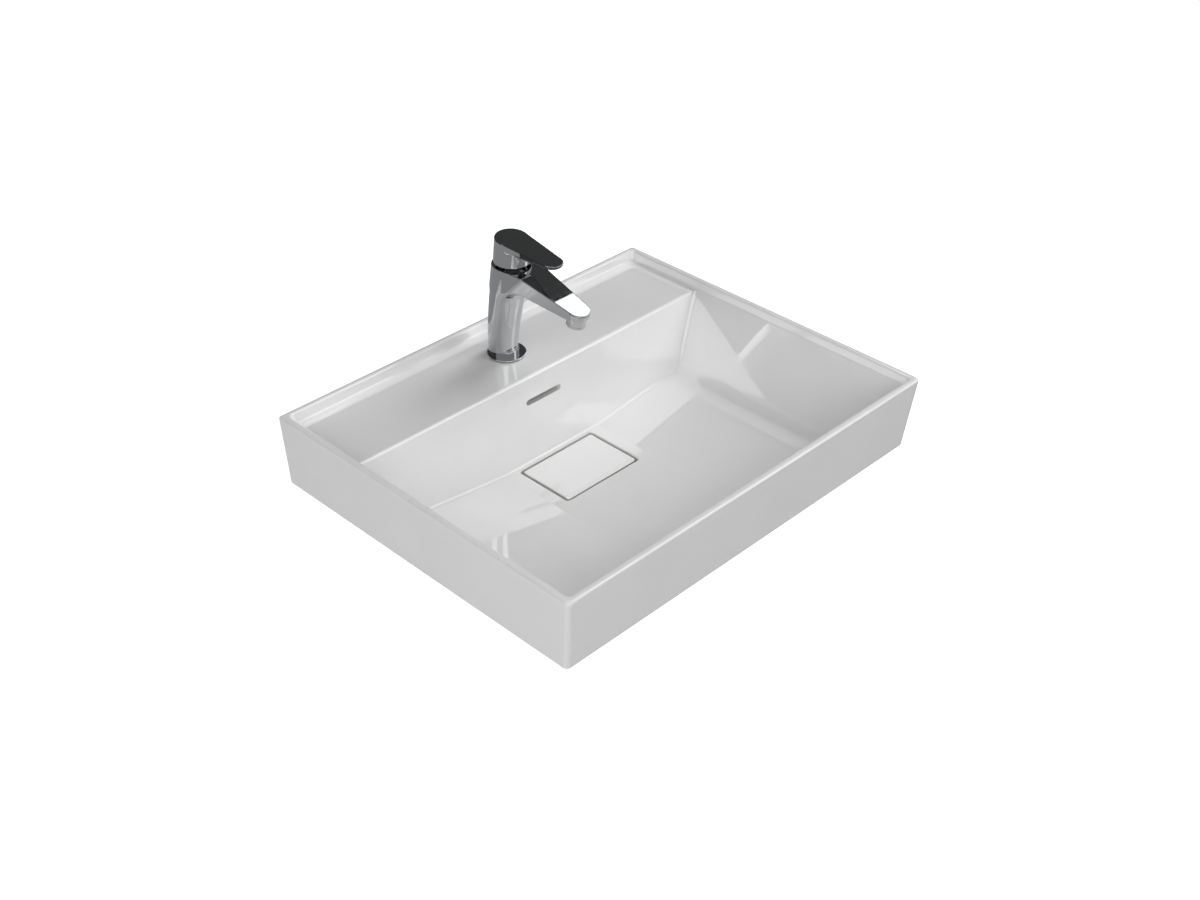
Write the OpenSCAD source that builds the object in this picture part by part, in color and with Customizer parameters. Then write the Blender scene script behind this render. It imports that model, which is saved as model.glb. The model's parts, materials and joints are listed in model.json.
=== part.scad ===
// Rectangular wall-hung washbasin with a single-lever mixer and a covered waste.
// Millimetres. X runs along the wall, the front faces -Y, and +Z is up.
// The origin is midway between the two wall fixing holes, on the wall face.

/* [Basin] */
// Width over the rim
basin_w = 600; // [540:5:680]
// Depth from the wall to the front of the rim
basin_d = 484; // [450:2:540]
// Height of the visible skirt
skirt_h = 99; // [92:1:130]
// How far each side leans in at the foot of the skirt
side_draft = 6.3; // [2:0.1:10]
// How far the front leans in at the foot of the skirt
front_draft = 10; // [3:0.5:16]
// Corner radius of the skirt in plan, at the front
corner_r = 6; // [4:0.5:14]
// Corner radius at the wall
wall_corner_r = 3; // [2:0.5:6]
// Rounding of the rim edges
edge_r = 2.5; // [1:0.25:3.5]
// Rounding of the foot of the skirt
foot_edge_r = 1.5; // [0.5:0.25:3]
// Width of the rim at its top
rim_w = 9; // [8:0.5:14]
// How far the inner face of the rim leans in down to the deck
rim_draft = 3.5; // [1:0.25:6]
// Corner radius inside the rim
inner_corner_r = 7; // [5:0.5:14]
// Thickness of the skirt and of the bowl wall
wall_t = 9; // [7:0.5:11]
// Thickness of the tap deck
deck_t = 14; // [10:0.5:16]
// Drop from the rim to the tap deck
deck_drop = 14; // [10:0.5:20]
// Depth of the tap deck, from the wall to its front edge
deck_d = 128.5; // [124:0.5:150]
// Rounding of the front edge of the deck
deck_edge_r = 4.5; // [2:0.5:7]
// Fillet at the foot of the inner rim
deck_foot_r = 4; // [2:0.5:6]

/* [Bowl] */
// Depth from the rim to the bowl floor
bowl_depth = 122; // [110:1:140]
// Half width of the bowl floor at its side walls
bowl_foot_x = 238; // [200:1:245]
// Lean of the rear wall, run for each unit of rise
rear_lean = 0.2; // [0.1:0.01:0.3]
// Lean of the front wall, run for each unit of rise
front_lean = 0.33; // [0.15:0.01:0.45]
// Half width of the flat middle strip of the floor
flat_half_w = 80; // [72:1:110]
// Rise of the floor for each unit of width, outside the middle strip
wing_rise = 0.1; // [0.04:0.01:0.14]
// Fillet round the floor at the front and rear walls
bowl_fillet_r = 8; // [5:0.5:12]
// Fillet between the floor and the side walls
side_fillet_r = 26; // [14:1:32]
// Width of the overflow slot
slot_w = 58; // [40:1:64]
// Height of the overflow slot
slot_h = 6.5; // [5:0.5:9]
// Drop from the rim to the middle of the overflow slot
slot_drop = 46.5; // [42:0.5:56]

/* [Wall fixings] */
// Distance between the two wall fixing holes
fix_spacing = 280; // [180:5:360]
// Radius of each wall fixing hole
fix_hole_r = 7; // [5:0.5:8]
// Height of the fixing holes above the foot of the skirt
fix_up = 40; // [30:1:48]
// Radius of the thick pad round each fixing hole
fix_pad_r = 22; // [16:1:26]
// Extra thickness of each pad
fix_pad_t = 6; // [3:0.5:10]

/* [Sump and waste] */
// Width of the sump opening in the bowl floor
sump_w = 123.5; // [110:0.5:130]
// Depth of the sump opening, front to back
sump_d = 84.5; // [78:0.5:92]
// Corner radius of the sump opening
sump_r = 4; // [3:0.5:8]
// Depth of the sump below the bowl floor
sump_drop = 34; // [33:0.5:44]
// Gap round the waste cover
cover_gap = 2.5; // [1.5:0.25:4]
// Thickness of the waste cover
cover_t = 9; // [7:0.5:10]
// Width of the bevel along the front of the waste cover
cover_bevel = 6; // [3:0.5:9]
// Distance from the rear edge of the sump opening to the foot of the rear wall
sump_back_gap = 5.8; // [4:0.2:12]
// Radius of the waste hole
waste_hole_r = 23; // [22.5:0.5:25]
// Thickness of the ceramic round the waste hole
outlet_t = 30; // [26:1:40]
// Outside radius of the waste tube
tube_r = 20.95; // [20:0.05:21.5]
// Wall of the waste tube
tube_t = 1.9; // [1.4:0.1:2.6]
// Length of the waste below the ceramic
tail_len = 48; // [40:1:80]
// Radius of the waste flange
flange_r = 32; // [29:0.5:33]
// Travel of the push-open plug
plug_travel = 7; // [4:0.5:8]

/* [Tap] */
// Distance from the wall to the middle of the tap hole
tap_back = 68.7; // [66:0.1:72]
// Radius of the tap hole
tap_hole_r = 17.5; // [17:0.25:19]
// Radius of the base ring
base_r = 25; // [24:0.5:28]
// Height of the base ring
base_ring_t = 8; // [5:0.5:12]
// Height of the shoulder that the handle stands over
shoulder_h = 133.5; // [128:0.5:150]
// Radius of the column at its foot
column_foot_r = 18.4; // [17.5:0.1:19]
// Radius of the column at the shoulder
column_top_r = 24.2; // [23:0.1:25.5]
// How far the foot of the column stands behind the middle of the base ring
column_foot_y = 6; // [4:0.2:6.4]
// How far the column leans forward, from foot to shoulder
column_lean = 21.5; // [17:0.5:24]
// Distance from the tap hole to the outlet of the spout
reach = 128.7; // [115:0.5:140]
// Half width of the spout at its outlet
nose_r = 14.3; // [13.8:0.1:16]
// Fall of the spout top for each unit of length
spout_fall = 0.23; // [0.12:0.01:0.28]
// Height of the spout top above its outlet
spout_top_h = 115.4; // [110:0.2:122]
// Height of the underside of the spout, where it meets the nozzle
spout_under_h = 102.5; // [99:0.5:105]
// Drop from the spout top to the foot of the nozzle, square to the top
nose_drop = 19; // [17:0.5:26]
// Radius of the foot of the nozzle
nose_foot_r = 12.6; // [12.4:0.1:13.6]
// Radius of the arch between the column and the spout
arch_r = 26; // [16:1:34]

/* [Handle] */
// Radius of the handle cap at its lower edge
cap_r = 23.5; // [22.5:0.1:24.5]
// Radius of the handle cap at its top
cap_top_r = 20.8; // [20:0.1:22]
// Height of the handle cap, from its lower edge to the top over its axis
cap_h = 30.5; // [28:0.5:36]
// Gap between the cap and the shoulder
cap_gap = 4; // [3:0.25:5]
// Distance from the cap axis to the middle of the round lever end
lever_reach = 69; // [60:0.5:80]
// Radius of the round end of the lever
lever_end_r = 13.5; // [10:0.5:15.5]
// Fall of the lever top for each unit of length
lever_fall = 0.092; // [0.04:0.002:0.14]
// Thickness of the lever at its end
lever_t = 4.5; // [3.5:0.25:6]
// How far the lever lifts, in degrees
lift_angle = 20; // [14:1:20]

/* [Hidden] */

fine = 96;
mid = 48;
few = 16;
hull_fn = 28;
eps = 0.01;
over = 1;

// Heights of the basin, from the fixing holes
skirt_z = -fix_up;
rim_z = skirt_z + skirt_h;
deck_z = rim_z - deck_drop;
deck_under_z = deck_z - deck_t;
floor_z = rim_z - bowl_depth;
slot_z = rim_z - slot_drop;
sump_z = floor_z - sump_drop;
outlet_z = sump_z - outlet_t;

// Outline of the skirt at height z
function draft_at(z) = 1 - (z - skirt_z) / skirt_h;
function skirt_x(z) = basin_w / 2 - side_draft * draft_at(z);
function skirt_y(z) = -basin_d + front_draft * draft_at(z);

// Inner face of the rim at height z
function rim_lean_at(z) = rim_draft * (rim_z - z) / deck_drop;
function tray_x(z) = basin_w / 2 - rim_w - rim_lean_at(z);
function tray_back(z) = -rim_w - rim_lean_at(z);
function tray_front(z) = -basin_d + rim_w + rim_lean_at(z);

// Walls of the bowl at height z
bowl_top_z = deck_z + deck_foot_r;
function rear_y(z) = -deck_d - rear_lean * (deck_z - z);
function front_y(z) = tray_front(deck_z) + front_lean * (deck_z - z);

// Place of the sump and of the waste axis
sump_back_y = rear_y(floor_z) - sump_back_gap;
waste_y = sump_back_y - sump_d / 2;

// One corner arc of a ring, as points
corner_steps = 6;
function corner(cx, cy, r, from) =
    [for (i = [0:corner_steps]) let (a = from + 90 * i / corner_steps)
        [cx + r * cos(a), cy + r * sin(a)]];

// Ring of a rounded rectangle: half width, back and front edge, two radii
function ring(hx, back, front, rb, rf, z) = [
    for (p = concat(
        corner(hx - rb, back - rb, rb, 0),
        corner(-hx + rb, back - rb, rb, 90),
        corner(-hx + rf, front + rf, rf, 180),
        corner(hx - rf, front + rf, rf, 270)
    )) [p[0], p[1], z]
];

// Closed solid through a stack of rings that all have the same point count
module loft(rings) {
    n = len(rings[0]);
    last = len(rings) - 1;
    sides = [
        for (k = [0:last - 1]) for (i = [0:n - 1])
            let (j = (i + 1) % n, a = k * n, b = (k + 1) * n)
                for (t = [[a + i, b + i, b + j], [a + i, b + j, a + j]]) t
    ];
    bottom = [for (i = [0:n - 1]) i];
    top = [for (i = [0:n - 1]) last * n + n - 1 - i];
    polyhedron(
        points = [for (r = rings) for (p = r) p],
        faces = concat(sides, [bottom, top]),
        convexity = 4
    );
}

// Steps of a quarter round, as [inset, rise] for a radius
round_steps = 4;
function quarter(r) =
    [for (i = [0:round_steps]) let (a = 90 * i / round_steps)
        [r * (1 - cos(a)), r * sin(a)]];

// Inset of a round of radius r, at height h above its foot
function rounding_at(r, h) = r - sqrt(pow(r, 2) - pow(r - h, 2));

// Rounded rectangle plate, centred on X, with its true corner arcs
module rounded_rect(w, d, r) {
    square([w - 2 * r, d], center = true);
    square([w, d - 2 * r], center = true);
    for (x = [-1, 1]) for (y = [-1, 1])
        translate([x * (w / 2 - r), y * (d / 2 - r)]) circle(r, $fn = mid);
}

// Slot with round ends, centred, its long side along X
module slot_shape(w, h) {
    square([w - h, h], center = true);
    for (x = [-1, 1]) translate([x * (w - h) / 2, 0]) circle(h / 2, $fn = mid);
}

// Ring or tube standing on z
module tube(r_out, r_in, h, z = 0) {
    translate([0, 0, z]) difference() {
        cylinder(r = r_out, h = h, $fn = fine);
        translate([0, 0, -over]) cylinder(r = r_in, h = h + 2 * over, $fn = fine);
    }
}

// Two circles on the Y axis joined by their outer tangents
module tapered_slot(y1, r1, y2, r2) {
    a = asin((r1 - r2) / (y1 - y2));
    translate([0, y1]) circle(r1, $fn = fine);
    translate([0, y2]) circle(r2, $fn = fine);
    polygon([
        [r1 * cos(a), y1 - r1 * sin(a)], [-r1 * cos(a), y1 - r1 * sin(a)],
        [-r2 * cos(a), y2 - r2 * sin(a)], [r2 * cos(a), y2 - r2 * sin(a)]
    ]);
}

// Extrudes a profile drawn in Y and Z by w along X, centred
module across(w) {
    rotate([90, 0, 90]) translate([0, 0, -w / 2]) linear_extrude(w) children();
}

// Basin

// Outside of the skirt and rim, with rounded edges
module skirt_block() {
    loft(concat(
        [for (q = quarter(foot_edge_r))
            let (in = rounding_at(foot_edge_r, q[1]), z = skirt_z + q[1])
                ring(skirt_x(z) - in, -in, skirt_y(z) + in, wall_corner_r, corner_r, z)],
        [for (q = quarter(edge_r))
            let (z = rim_z - edge_r + q[1], in = q[0])
                ring(skirt_x(z) - in, -in, skirt_y(z) + in, wall_corner_r, corner_r, z)]
    ));
}

// Space inside the rim, down to the tap deck
module tray_space() {
    loft(concat(
        [for (q = quarter(deck_foot_r))
            let (in = rounding_at(deck_foot_r, q[1]), z = deck_z + q[1])
                ring(tray_x(z) - in, tray_back(z) - in, tray_front(z) + in,
                     inner_corner_r, inner_corner_r, z)],
        [for (q = quarter(edge_r))
            let (z = rim_z - edge_r + q[1], out = q[0])
                ring(tray_x(z) + out, tray_back(z) + out, tray_front(z) - out,
                     inner_corner_r, inner_corner_r, z)],
        [ring(tray_x(rim_z) + edge_r, tray_back(rim_z) + edge_r, tray_front(rim_z) - edge_r,
              inner_corner_r, inner_corner_r, rim_z + over)]
    ));
}

// Side wall and floor of the bowl meet at this corner before the fillet
bowl_corner = [bowl_foot_x, floor_z + wing_rise * (bowl_foot_x - flat_half_w)];
wing_a = atan(wing_rise);
side_a = atan((tray_x(bowl_top_z) - bowl_corner[0]) / (bowl_top_z - bowl_corner[1]));

// Middle of the side fillet, on the line that halves the corner
half_angle = (90 + side_a + wing_a) / 2;
fillet_dist = side_fillet_r / sin(half_angle);
fillet_from = 180 + wing_a - half_angle;
fillet_c = bowl_corner + fillet_dist * [cos(fillet_from), sin(fillet_from)];

// Centres, in X and Z, of the balls whose common skin is the bowl floor
side_steps = 4;
function bowl_balls() = concat(
    [[flat_half_w, floor_z + bowl_fillet_r]],
    [for (i = [0:side_steps])
        let (a = -90 + wing_a + (90 - wing_a - side_a) * i / side_steps)
            fillet_c + (side_fillet_r - bowl_fillet_r) * [cos(a), sin(a)]]
);

// The bowl as one smooth solid, grown on all sides by g
module bowl_form(g = 0) {
    r = bowl_fillet_r;
    rear_in = r * sqrt(1 + pow(rear_lean, 2));
    front_in = r * sqrt(1 + pow(front_lean, 2));
    hull() {
        for (s = [-1, 1]) {
            for (b = bowl_balls()) {
                translate([s * b[0], rear_y(b[1]) - rear_in, b[1]])
                    sphere(r + g, $fn = hull_fn);
                translate([s * b[0], front_y(b[1]) + front_in, b[1]])
                    sphere(r + g, $fn = hull_fn);
            }
            translate([s * (tray_x(bowl_top_z) - inner_corner_r),
                       rear_y(bowl_top_z) - inner_corner_r, bowl_top_z - eps])
                cylinder(r = inner_corner_r + g, h = eps, $fn = hull_fn);
            translate([s * (tray_x(bowl_top_z) - inner_corner_r),
                       tray_front(bowl_top_z) + inner_corner_r, bowl_top_z - eps])
                cylinder(r = inner_corner_r + g, h = eps, $fn = hull_fn);
        }
    }
}

// Rounds the front edge of the deck where the rear wall of the bowl starts
module deck_edge_cut() {
    turn = 90 - atan(rear_lean);
    t = deck_edge_r * tan(turn / 2);
    c = [-deck_d + t, deck_z - deck_edge_r];
    lean = atan(rear_lean);
    foot = [-deck_d - t * sin(lean), deck_z - t * cos(lean)];
    across(2 * (tray_x(deck_z) - deck_foot_r)) difference() {
        polygon([[c[0], deck_z + over], [-deck_d - over, deck_z + over],
                 [foot[0] - over, foot[1]], foot, c]);
        translate(c) circle(deck_edge_r, $fn = mid);
    }
}

// Hollow inside the skirt, open below
under_corner_r = 6;
module under_space() {
    loft([
        for (z = [skirt_z - over, deck_under_z])
            ring(skirt_x(z) - wall_t, -wall_t, skirt_y(z) + wall_t,
                 under_corner_r, under_corner_r, z)
    ]);
}

// Path of the overflow, from behind the slot down into the waste hole
duct_gap = 14;
duct_w = 48;
duct_wall = 6;
duct_leg_h = 12;
duct_head = 6;
duct_leg_up = 9;
outlet_wall = 13;
duct_top_z = slot_z + duct_head;
duct_leg_z = outlet_z + duct_leg_up;
module duct_profile(grow) {
    back_t = wall_t * sqrt(1 + pow(rear_lean, 2));
    upper_z = duct_top_z + grow;
    lower_z = duct_leg_z - grow;
    polygon([
        [rear_y(upper_z) + back_t - over, upper_z],
        [rear_y(upper_z) + back_t + duct_gap + grow, upper_z],
        [rear_y(floor_z) + back_t + duct_gap + grow, floor_z],
        [rear_y(floor_z) + back_t + duct_gap + grow, lower_z],
        [waste_y, lower_z],
        [waste_y, duct_leg_z + duct_leg_h + grow],
        [rear_y(floor_z) + back_t - over - grow, duct_leg_z + duct_leg_h + grow],
        [rear_y(floor_z) + back_t - over - grow, floor_z]
    ]);
}

// Outside of the sump, the waste boss and the overflow duct
module sump_shell() {
    translate([0, waste_y, sump_z - wall_t])
        linear_extrude(floor_z - sump_z + wall_t)
            rounded_rect(sump_w + 2 * wall_t, sump_d + 2 * wall_t, sump_r + wall_t);
    translate([0, waste_y, outlet_z])
        cylinder(r = waste_hole_r + outlet_wall, h = outlet_t, $fn = fine);
    across(duct_w + 2 * duct_wall) duct_profile(duct_wall);
}

module basin() {
    color("white") difference() {
        union() {
            difference() {
                skirt_block();
                under_space();
            }
            bowl_form(wall_t);
            sump_shell();
            for (s = [-1, 1]) translate([s * fix_spacing / 2, -wall_t - fix_pad_t, 0])
                rotate([-90, 0, 0]) cylinder(r = fix_pad_r, h = fix_pad_t + wall_t / 2, $fn = mid);
        }
        tray_space();
        bowl_form();
        deck_edge_cut();
        translate([0, waste_y, sump_z]) linear_extrude(floor_z - sump_z + over)
            rounded_rect(sump_w, sump_d, sump_r);
        translate([0, waste_y, outlet_z - over])
            cylinder(r = waste_hole_r, h = outlet_t + 2 * over, $fn = fine);
        across(duct_w) duct_profile(0);
        translate([0, rear_y(slot_z) - 3 * over, slot_z]) rotate([-90, 0, 0])
            linear_extrude(wall_t + duct_gap) slot_shape(slot_w, slot_h);
        translate([0, -tap_back, deck_under_z - over])
            cylinder(r = tap_hole_r, h = deck_t + 2 * over, $fn = fine);
        for (s = [-1, 1]) translate([s * fix_spacing / 2, -wall_t - fix_pad_t - over, 0])
            rotate([-90, 0, 0])
                cylinder(r = fix_hole_r, h = wall_t + fix_pad_t + 2 * over, $fn = mid);
    }
}

// Waste

// Heights of the waste, built up from the floor of the sump
gasket_t = 2;
flange_t = 3;
flange_bevel = 1.5;
seal_t = 2.5;
seal_clear = 0.2;
plug_t = 5;
flange_lip = 1;
plug_r = flange_r - flange_lip;
flange_top = sump_z + gasket_t + flange_t;
seal_z = flange_top + seal_clear + plug_travel;
plug_z = seal_z + seal_t;
plug_top = plug_z + plug_t;
cover_z = floor_z - cover_t;
tail_z = outlet_z - tail_len;

// The tube is a little thinner below, where the trap slides over it
tail_free = 30;
tail_step = 0.25;
body_r = tube_r + tail_step;
ring_clear = 0.5;

// Cross bar that carries the push-open cartridge
bar_t = 6;
bar_z = outlet_z - bar_t / 2;
bar_w = 4;
hub_r = 7.5;
hub_bore_r = 4;
thread_clear = 0.05;

// Push-open cartridge and its stem
click_r = 6.5;
click_z = bar_z + bar_t;
click_h = 24;
click_bore_r = 4.3;
click_floor = 2;
stem_r = 4.2;
stem_in_h = 8;
spring_h = click_h - click_floor - stem_in_h;

// Pegs that join the cover, the plug and the stem
peg_r = 6;
peg_h = 3;
peg_clear = 0.1;
stem_hole = 3;

module at_waste(z = 0) { translate([0, waste_y, z]) children(); }

// The loose ceramic plate that hides the waste
cover_rim = 8;
cover_recess = 3;
cover_boss_r = 13;
cover_bevel_h = 1.6;
module waste_cover() {
    w = sump_w - 2 * cover_gap;
    d = sump_d - 2 * cover_gap;
    r = sump_r - cover_gap / 2;
    front = waste_y - d / 2;
    color("white") difference() {
        union() {
            difference() {
                at_waste(cover_z) linear_extrude(cover_t) rounded_rect(w, d, r);
                at_waste(cover_z - over) linear_extrude(cover_recess + over)
                    rounded_rect(w - 2 * cover_rim, d - 2 * cover_rim, r);
            }
            at_waste(plug_top)
                cylinder(r = cover_boss_r, h = cover_z + cover_recess + eps - plug_top, $fn = fine);
        }
        at_waste(plug_top - over)
            cylinder(r = peg_r + peg_clear, h = peg_h + peg_clear + over, $fn = mid);
        across(w + 2 * over) polygon([
            [front - over, floor_z + over], [front + cover_bevel, floor_z + over],
            [front + cover_bevel, floor_z], [front, floor_z - cover_bevel_h],
            [front - over, floor_z - cover_bevel_h]
        ]);
    }
}

// Plug that closes the waste, with the peg for the cover
plug_edge = 1.5;
module plug_cap() {
    color("silver") difference() {
        union() {
            at_waste(plug_z) rotate_extrude($fn = fine) polygon([
                [0, 0], [plug_r, 0], [plug_r, plug_t - plug_edge],
                [plug_r - plug_edge, plug_t], [0, plug_t]
            ]);
            at_waste(plug_top - eps) cylinder(r = peg_r, h = peg_h + eps, $fn = mid);
        }
        at_waste(plug_z - over)
            cylinder(r = stem_r + thread_clear, h = stem_hole + over, $fn = mid);
    }
}

seal_lip = 3;
seal_out_r = flange_r - seal_lip;
seal_in_r = body_r + ring_clear;
module plug_seal() {
    color("dimgray") at_waste(seal_z) tube(seal_out_r, seal_in_r, seal_t);
}

module click_stem() {
    foot = click_z + click_floor + spring_h;
    color("silver") at_waste(foot)
        cylinder(r = stem_r, h = plug_z + stem_hole - foot, $fn = mid);
}

// Coil of the return spring, as one swept tube
coil_r = 3.3;
wire_r = 0.45;
coil_turns = 6;
coil_steps = 12;
wire_sides = 6;
function coil_point(i, z0, rise) =
    let (a = 360 * i / coil_steps) [coil_r * cos(a), coil_r * sin(a), z0 + rise * i];
module click_spring() {
    count = coil_turns * coil_steps;
    rise = (spring_h - 2 * (wire_r + thread_clear)) / count;
    points = [
        for (i = [0:count]) for (k = [0:wire_sides - 1])
            let (a = 360 * i / coil_steps, b = 360 * k / wire_sides, q = coil_r + wire_r * cos(b))
                [q * cos(a), q * sin(a), rise * i + wire_r * sin(b)]
    ];
    n = wire_sides;
    sides = [
        for (i = [0:count - 1]) for (k = [0:n - 1])
            let (m = (k + 1) % n)
                for (t = [[i * n + k, i * n + m, (i + 1) * n + m],
                          [i * n + k, (i + 1) * n + m, (i + 1) * n + k]]) t
    ];
    ends = [[for (k = [0:n - 1]) n - 1 - k], [for (k = [0:n - 1]) count * n + k]];
    color("gray") at_waste(click_z + click_floor + wire_r + thread_clear)
        polyhedron(points = points, faces = concat(sides, ends), convexity = 10);
}

module click_housing() {
    color("whitesmoke") at_waste(click_z) {
        difference() {
            cylinder(r = click_r, h = click_h, $fn = mid);
            translate([0, 0, click_floor])
                cylinder(r = click_bore_r, h = click_h, $fn = mid);
        }
        translate([0, 0, -bar_t]) cylinder(r = hub_bore_r - thread_clear, h = bar_t + eps, $fn = mid);
    }
}

// Flange, tube with overflow windows, and the cross bar
window_w = 14;
window_margin = 1;
window_h = duct_leg_h - 2 * window_margin;
module waste_body() {
    bore_r = tube_r - tube_t;
    flange_z = sump_z + gasket_t;
    color("silver") difference() {
        union() {
            at_waste() rotate_extrude($fn = fine) polygon([
                [bore_r, tail_z], [tube_r, tail_z], [tube_r, tail_z + tail_free],
                [body_r, tail_z + tail_free], [body_r, flange_z], [flange_r, flange_z],
                [flange_r, flange_top - flange_bevel], [flange_r - flange_bevel, flange_top],
                [body_r, flange_top], [bore_r, flange_top - tube_t]
            ]);
            at_waste(bar_z) linear_extrude(bar_t) difference() {
                union() {
                    circle(r = hub_r, $fn = mid);
                    for (a = [45, 135]) rotate(a)
                        square([2 * bore_r + tube_t, bar_w], center = true);
                }
                circle(r = hub_bore_r, $fn = mid);
            }
        }
        at_waste(duct_leg_z + window_margin) for (a = [0:90:270])
            rotate([0, 0, a]) translate([bore_r - over, -window_w / 2, 0])
                cube([body_r - bore_r + 2 * over, window_w, window_h]);
    }
}

gasket_in_r = body_r + ring_clear;
module waste_gasket() {
    color("dimgray") at_waste(sump_z) tube(flange_r - flange_lip, gasket_in_r, gasket_t);
}

washer_t = 4;
washer_lip = 2;
nut_t = 9;
waste_nut_r = 30;
waste_ribs = 12;
waste_rib_r = 2;
module waste_washer() {
    color("dimgray") at_waste(outlet_z - washer_t) tube(waste_nut_r + washer_lip, gasket_in_r, washer_t);
}

// Ribbed nut that pulls the waste tight from below
module waste_nut() {
    color("whitesmoke") at_waste(outlet_z - washer_t - nut_t) difference() {
        union() {
            cylinder(r = waste_nut_r, h = nut_t, $fn = fine);
            for (i = [0:waste_ribs - 1]) rotate([0, 0, 360 * i / waste_ribs])
                translate([waste_nut_r, 0, 0]) cylinder(r = waste_rib_r, h = nut_t, $fn = few);
        }
        translate([0, 0, -over])
            cylinder(r = body_r + thread_clear, h = nut_t + 2 * over, $fn = fine);
    }
}

// Tap, in heights above the deck and distances from the tap hole

base_gasket_t = 1;
base_round = 2;
base_lip = 1;
column_z = base_gasket_t + base_ring_t;
spigot_r = 16;
spigot_z = -3;
axis_y = column_foot_y - column_lean;
column_levels = 10;
column_sides = 36;
lean_power = 1.5;
spout_root_r = 20.3;
under_fall = 0.08;
inlet_r = 4.6;
inlet_x = 7.5;
inlet_y = 6;
inlet_depth = 11;
stud_r = 4;
stud_y = -9.5;
stud_depth = 11;
stud_end_gap = 1;

module at_tap(z = 0) { translate([0, -tap_back, deck_z + z]) children(); }
module at_axis(z = 0) { at_tap(z) translate([0, axis_y, 0]) children(); }

// Column at part t of its height: middle and radius
function column_y(t) = column_foot_y - column_lean * pow(t, lean_power);
function column_r(t) = column_foot_r + (column_top_r - column_foot_r) * t;
function column_ring(t) = [
    for (i = [0:column_sides - 1]) let (a = 360 * i / column_sides)
        [column_r(t) * cos(a), column_y(t) + column_r(t) * sin(a),
         column_z + t * (shoulder_h - column_z)]
];

// Top and underside of the spout at distance y
function spout_top(y) = spout_top_h + spout_fall * (y + reach);
function spout_under(y) = spout_under_h + under_fall * (y + reach);

// Side view of the spout, with the arch under its root
module spout_side() {
    arch_z = spout_under(axis_y) - arch_r;
    t = (arch_z - column_z) / (shoulder_h - column_z);
    arch_y = column_y(t) - column_r(t) - arch_r + over;
    top_y = (shoulder_h - spout_top_h) / spout_fall - reach;
    tip = -reach - 2 * nose_r;
    difference() {
        polygon([
            [axis_y, arch_z], [axis_y, shoulder_h], [top_y, shoulder_h], [tip, spout_top(tip)],
            [tip, spout_under(tip)], [arch_y, spout_under(arch_y)], [arch_y, arch_z]
        ]);
        translate([arch_y, spout_under(arch_y) - arch_r]) circle(arch_r, $fn = fine);
    }
}

// The nozzle stands square to the top of the spout
spout_tilt = atan(spout_fall);
module at_nose(z = 0) {
    at_tap(spout_top_h) translate([0, -reach, 0]) rotate([spout_tilt, 0, 0])
        translate([0, 0, z]) children();
}

// Cartridge heights
seat_drop = 29.5;
seat_z = shoulder_h - seat_drop;
cartridge_r = 12.5;
cartridge_clear = 0.1;
nut_seat_drop = 10.5;
nut_seat_z = shoulder_h - nut_seat_drop;
nut_bore_r = 14.3;
aerator_r = 11;
aerator_h = 12;
nose_top_drop = 2;
aerator_clear = 0.05;

module tap_body() {
    color("silver") difference() {
        union() {
            at_tap() loft([for (i = [0:column_levels]) column_ring(i / column_levels)]);
            at_tap(spigot_z)
                cylinder(r = spigot_r, h = column_z - spigot_z + over, $fn = fine);
            intersection() {
                at_tap() across(4 * spout_root_r) spout_side();
                at_nose(-shoulder_h) linear_extrude(2 * shoulder_h)
                    tapered_slot((axis_y + reach) / cos(spout_tilt), spout_root_r, 0, nose_r);
            }
            at_nose(-nose_drop)
                cylinder(r1 = nose_foot_r, r2 = nose_r - eps, h = nose_drop - nose_top_drop, $fn = fine);
        }
        at_axis(seat_z) cylinder(r = cartridge_r + cartridge_clear, h = shoulder_h, $fn = fine);
        at_axis(nut_seat_z) cylinder(r = nut_bore_r, h = shoulder_h, $fn = fine);
        at_nose(-nose_drop - over)
            cylinder(r = aerator_r + aerator_clear, h = aerator_h + over, $fn = fine);
        for (s = [-1, 1]) at_tap(spigot_z - over) translate([s * inlet_x, inlet_y, 0])
            cylinder(r = inlet_r, h = inlet_depth + over, $fn = mid);
        at_tap(spigot_z - over) translate([0, stud_y, 0])
            cylinder(r = stud_r + thread_clear, h = stud_depth + over, $fn = mid);
    }
}

module base_ring() {
    in_r = spigot_r + cartridge_clear;
    color("silver") at_tap(base_gasket_t) rotate_extrude($fn = fine) difference() {
        translate([in_r, 0]) square([base_r - in_r, base_ring_t]);
        translate([base_r - base_round, base_ring_t - base_round]) difference() {
            square(base_round + over);
            circle(base_round, $fn = mid);
        }
    }
}

module base_gasket() {
    color("dimgray") at_tap() tube(base_r - base_lip, tap_hole_r + base_lip, base_gasket_t);
}

// Fixings under the deck
deck_washer_t = 3;
bracket_t = 3;
bracket_r = 26;
bracket_lip = 1;
hose_gap_r = 14.2;
hose_gap_y = 10.5;
fixing_nut_h = 8;
fixing_nut_r = 7.5;
stud_below = 18;

// Horseshoe with a hole for the stud and a gap for the hoses
module horseshoe(r, t) {
    difference() {
        cylinder(r = r, h = t, $fn = fine);
        translate([0, hose_gap_y, -over]) cylinder(r = hose_gap_r, h = t + 2 * over, $fn = mid);
        translate([-hose_gap_r, hose_gap_y, -over]) cube([2 * hose_gap_r, r, t + 2 * over]);
        translate([0, stud_y, -over])
            cylinder(r = stud_r + cartridge_clear, h = t + 2 * over, $fn = mid);
    }
}

module deck_washer() {
    color("dimgray") at_tap(-deck_t - deck_washer_t) horseshoe(bracket_r + bracket_lip, deck_washer_t);
}

module deck_bracket() {
    color("gray") at_tap(-deck_t - deck_washer_t - bracket_t) horseshoe(bracket_r, bracket_t);
}

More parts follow.
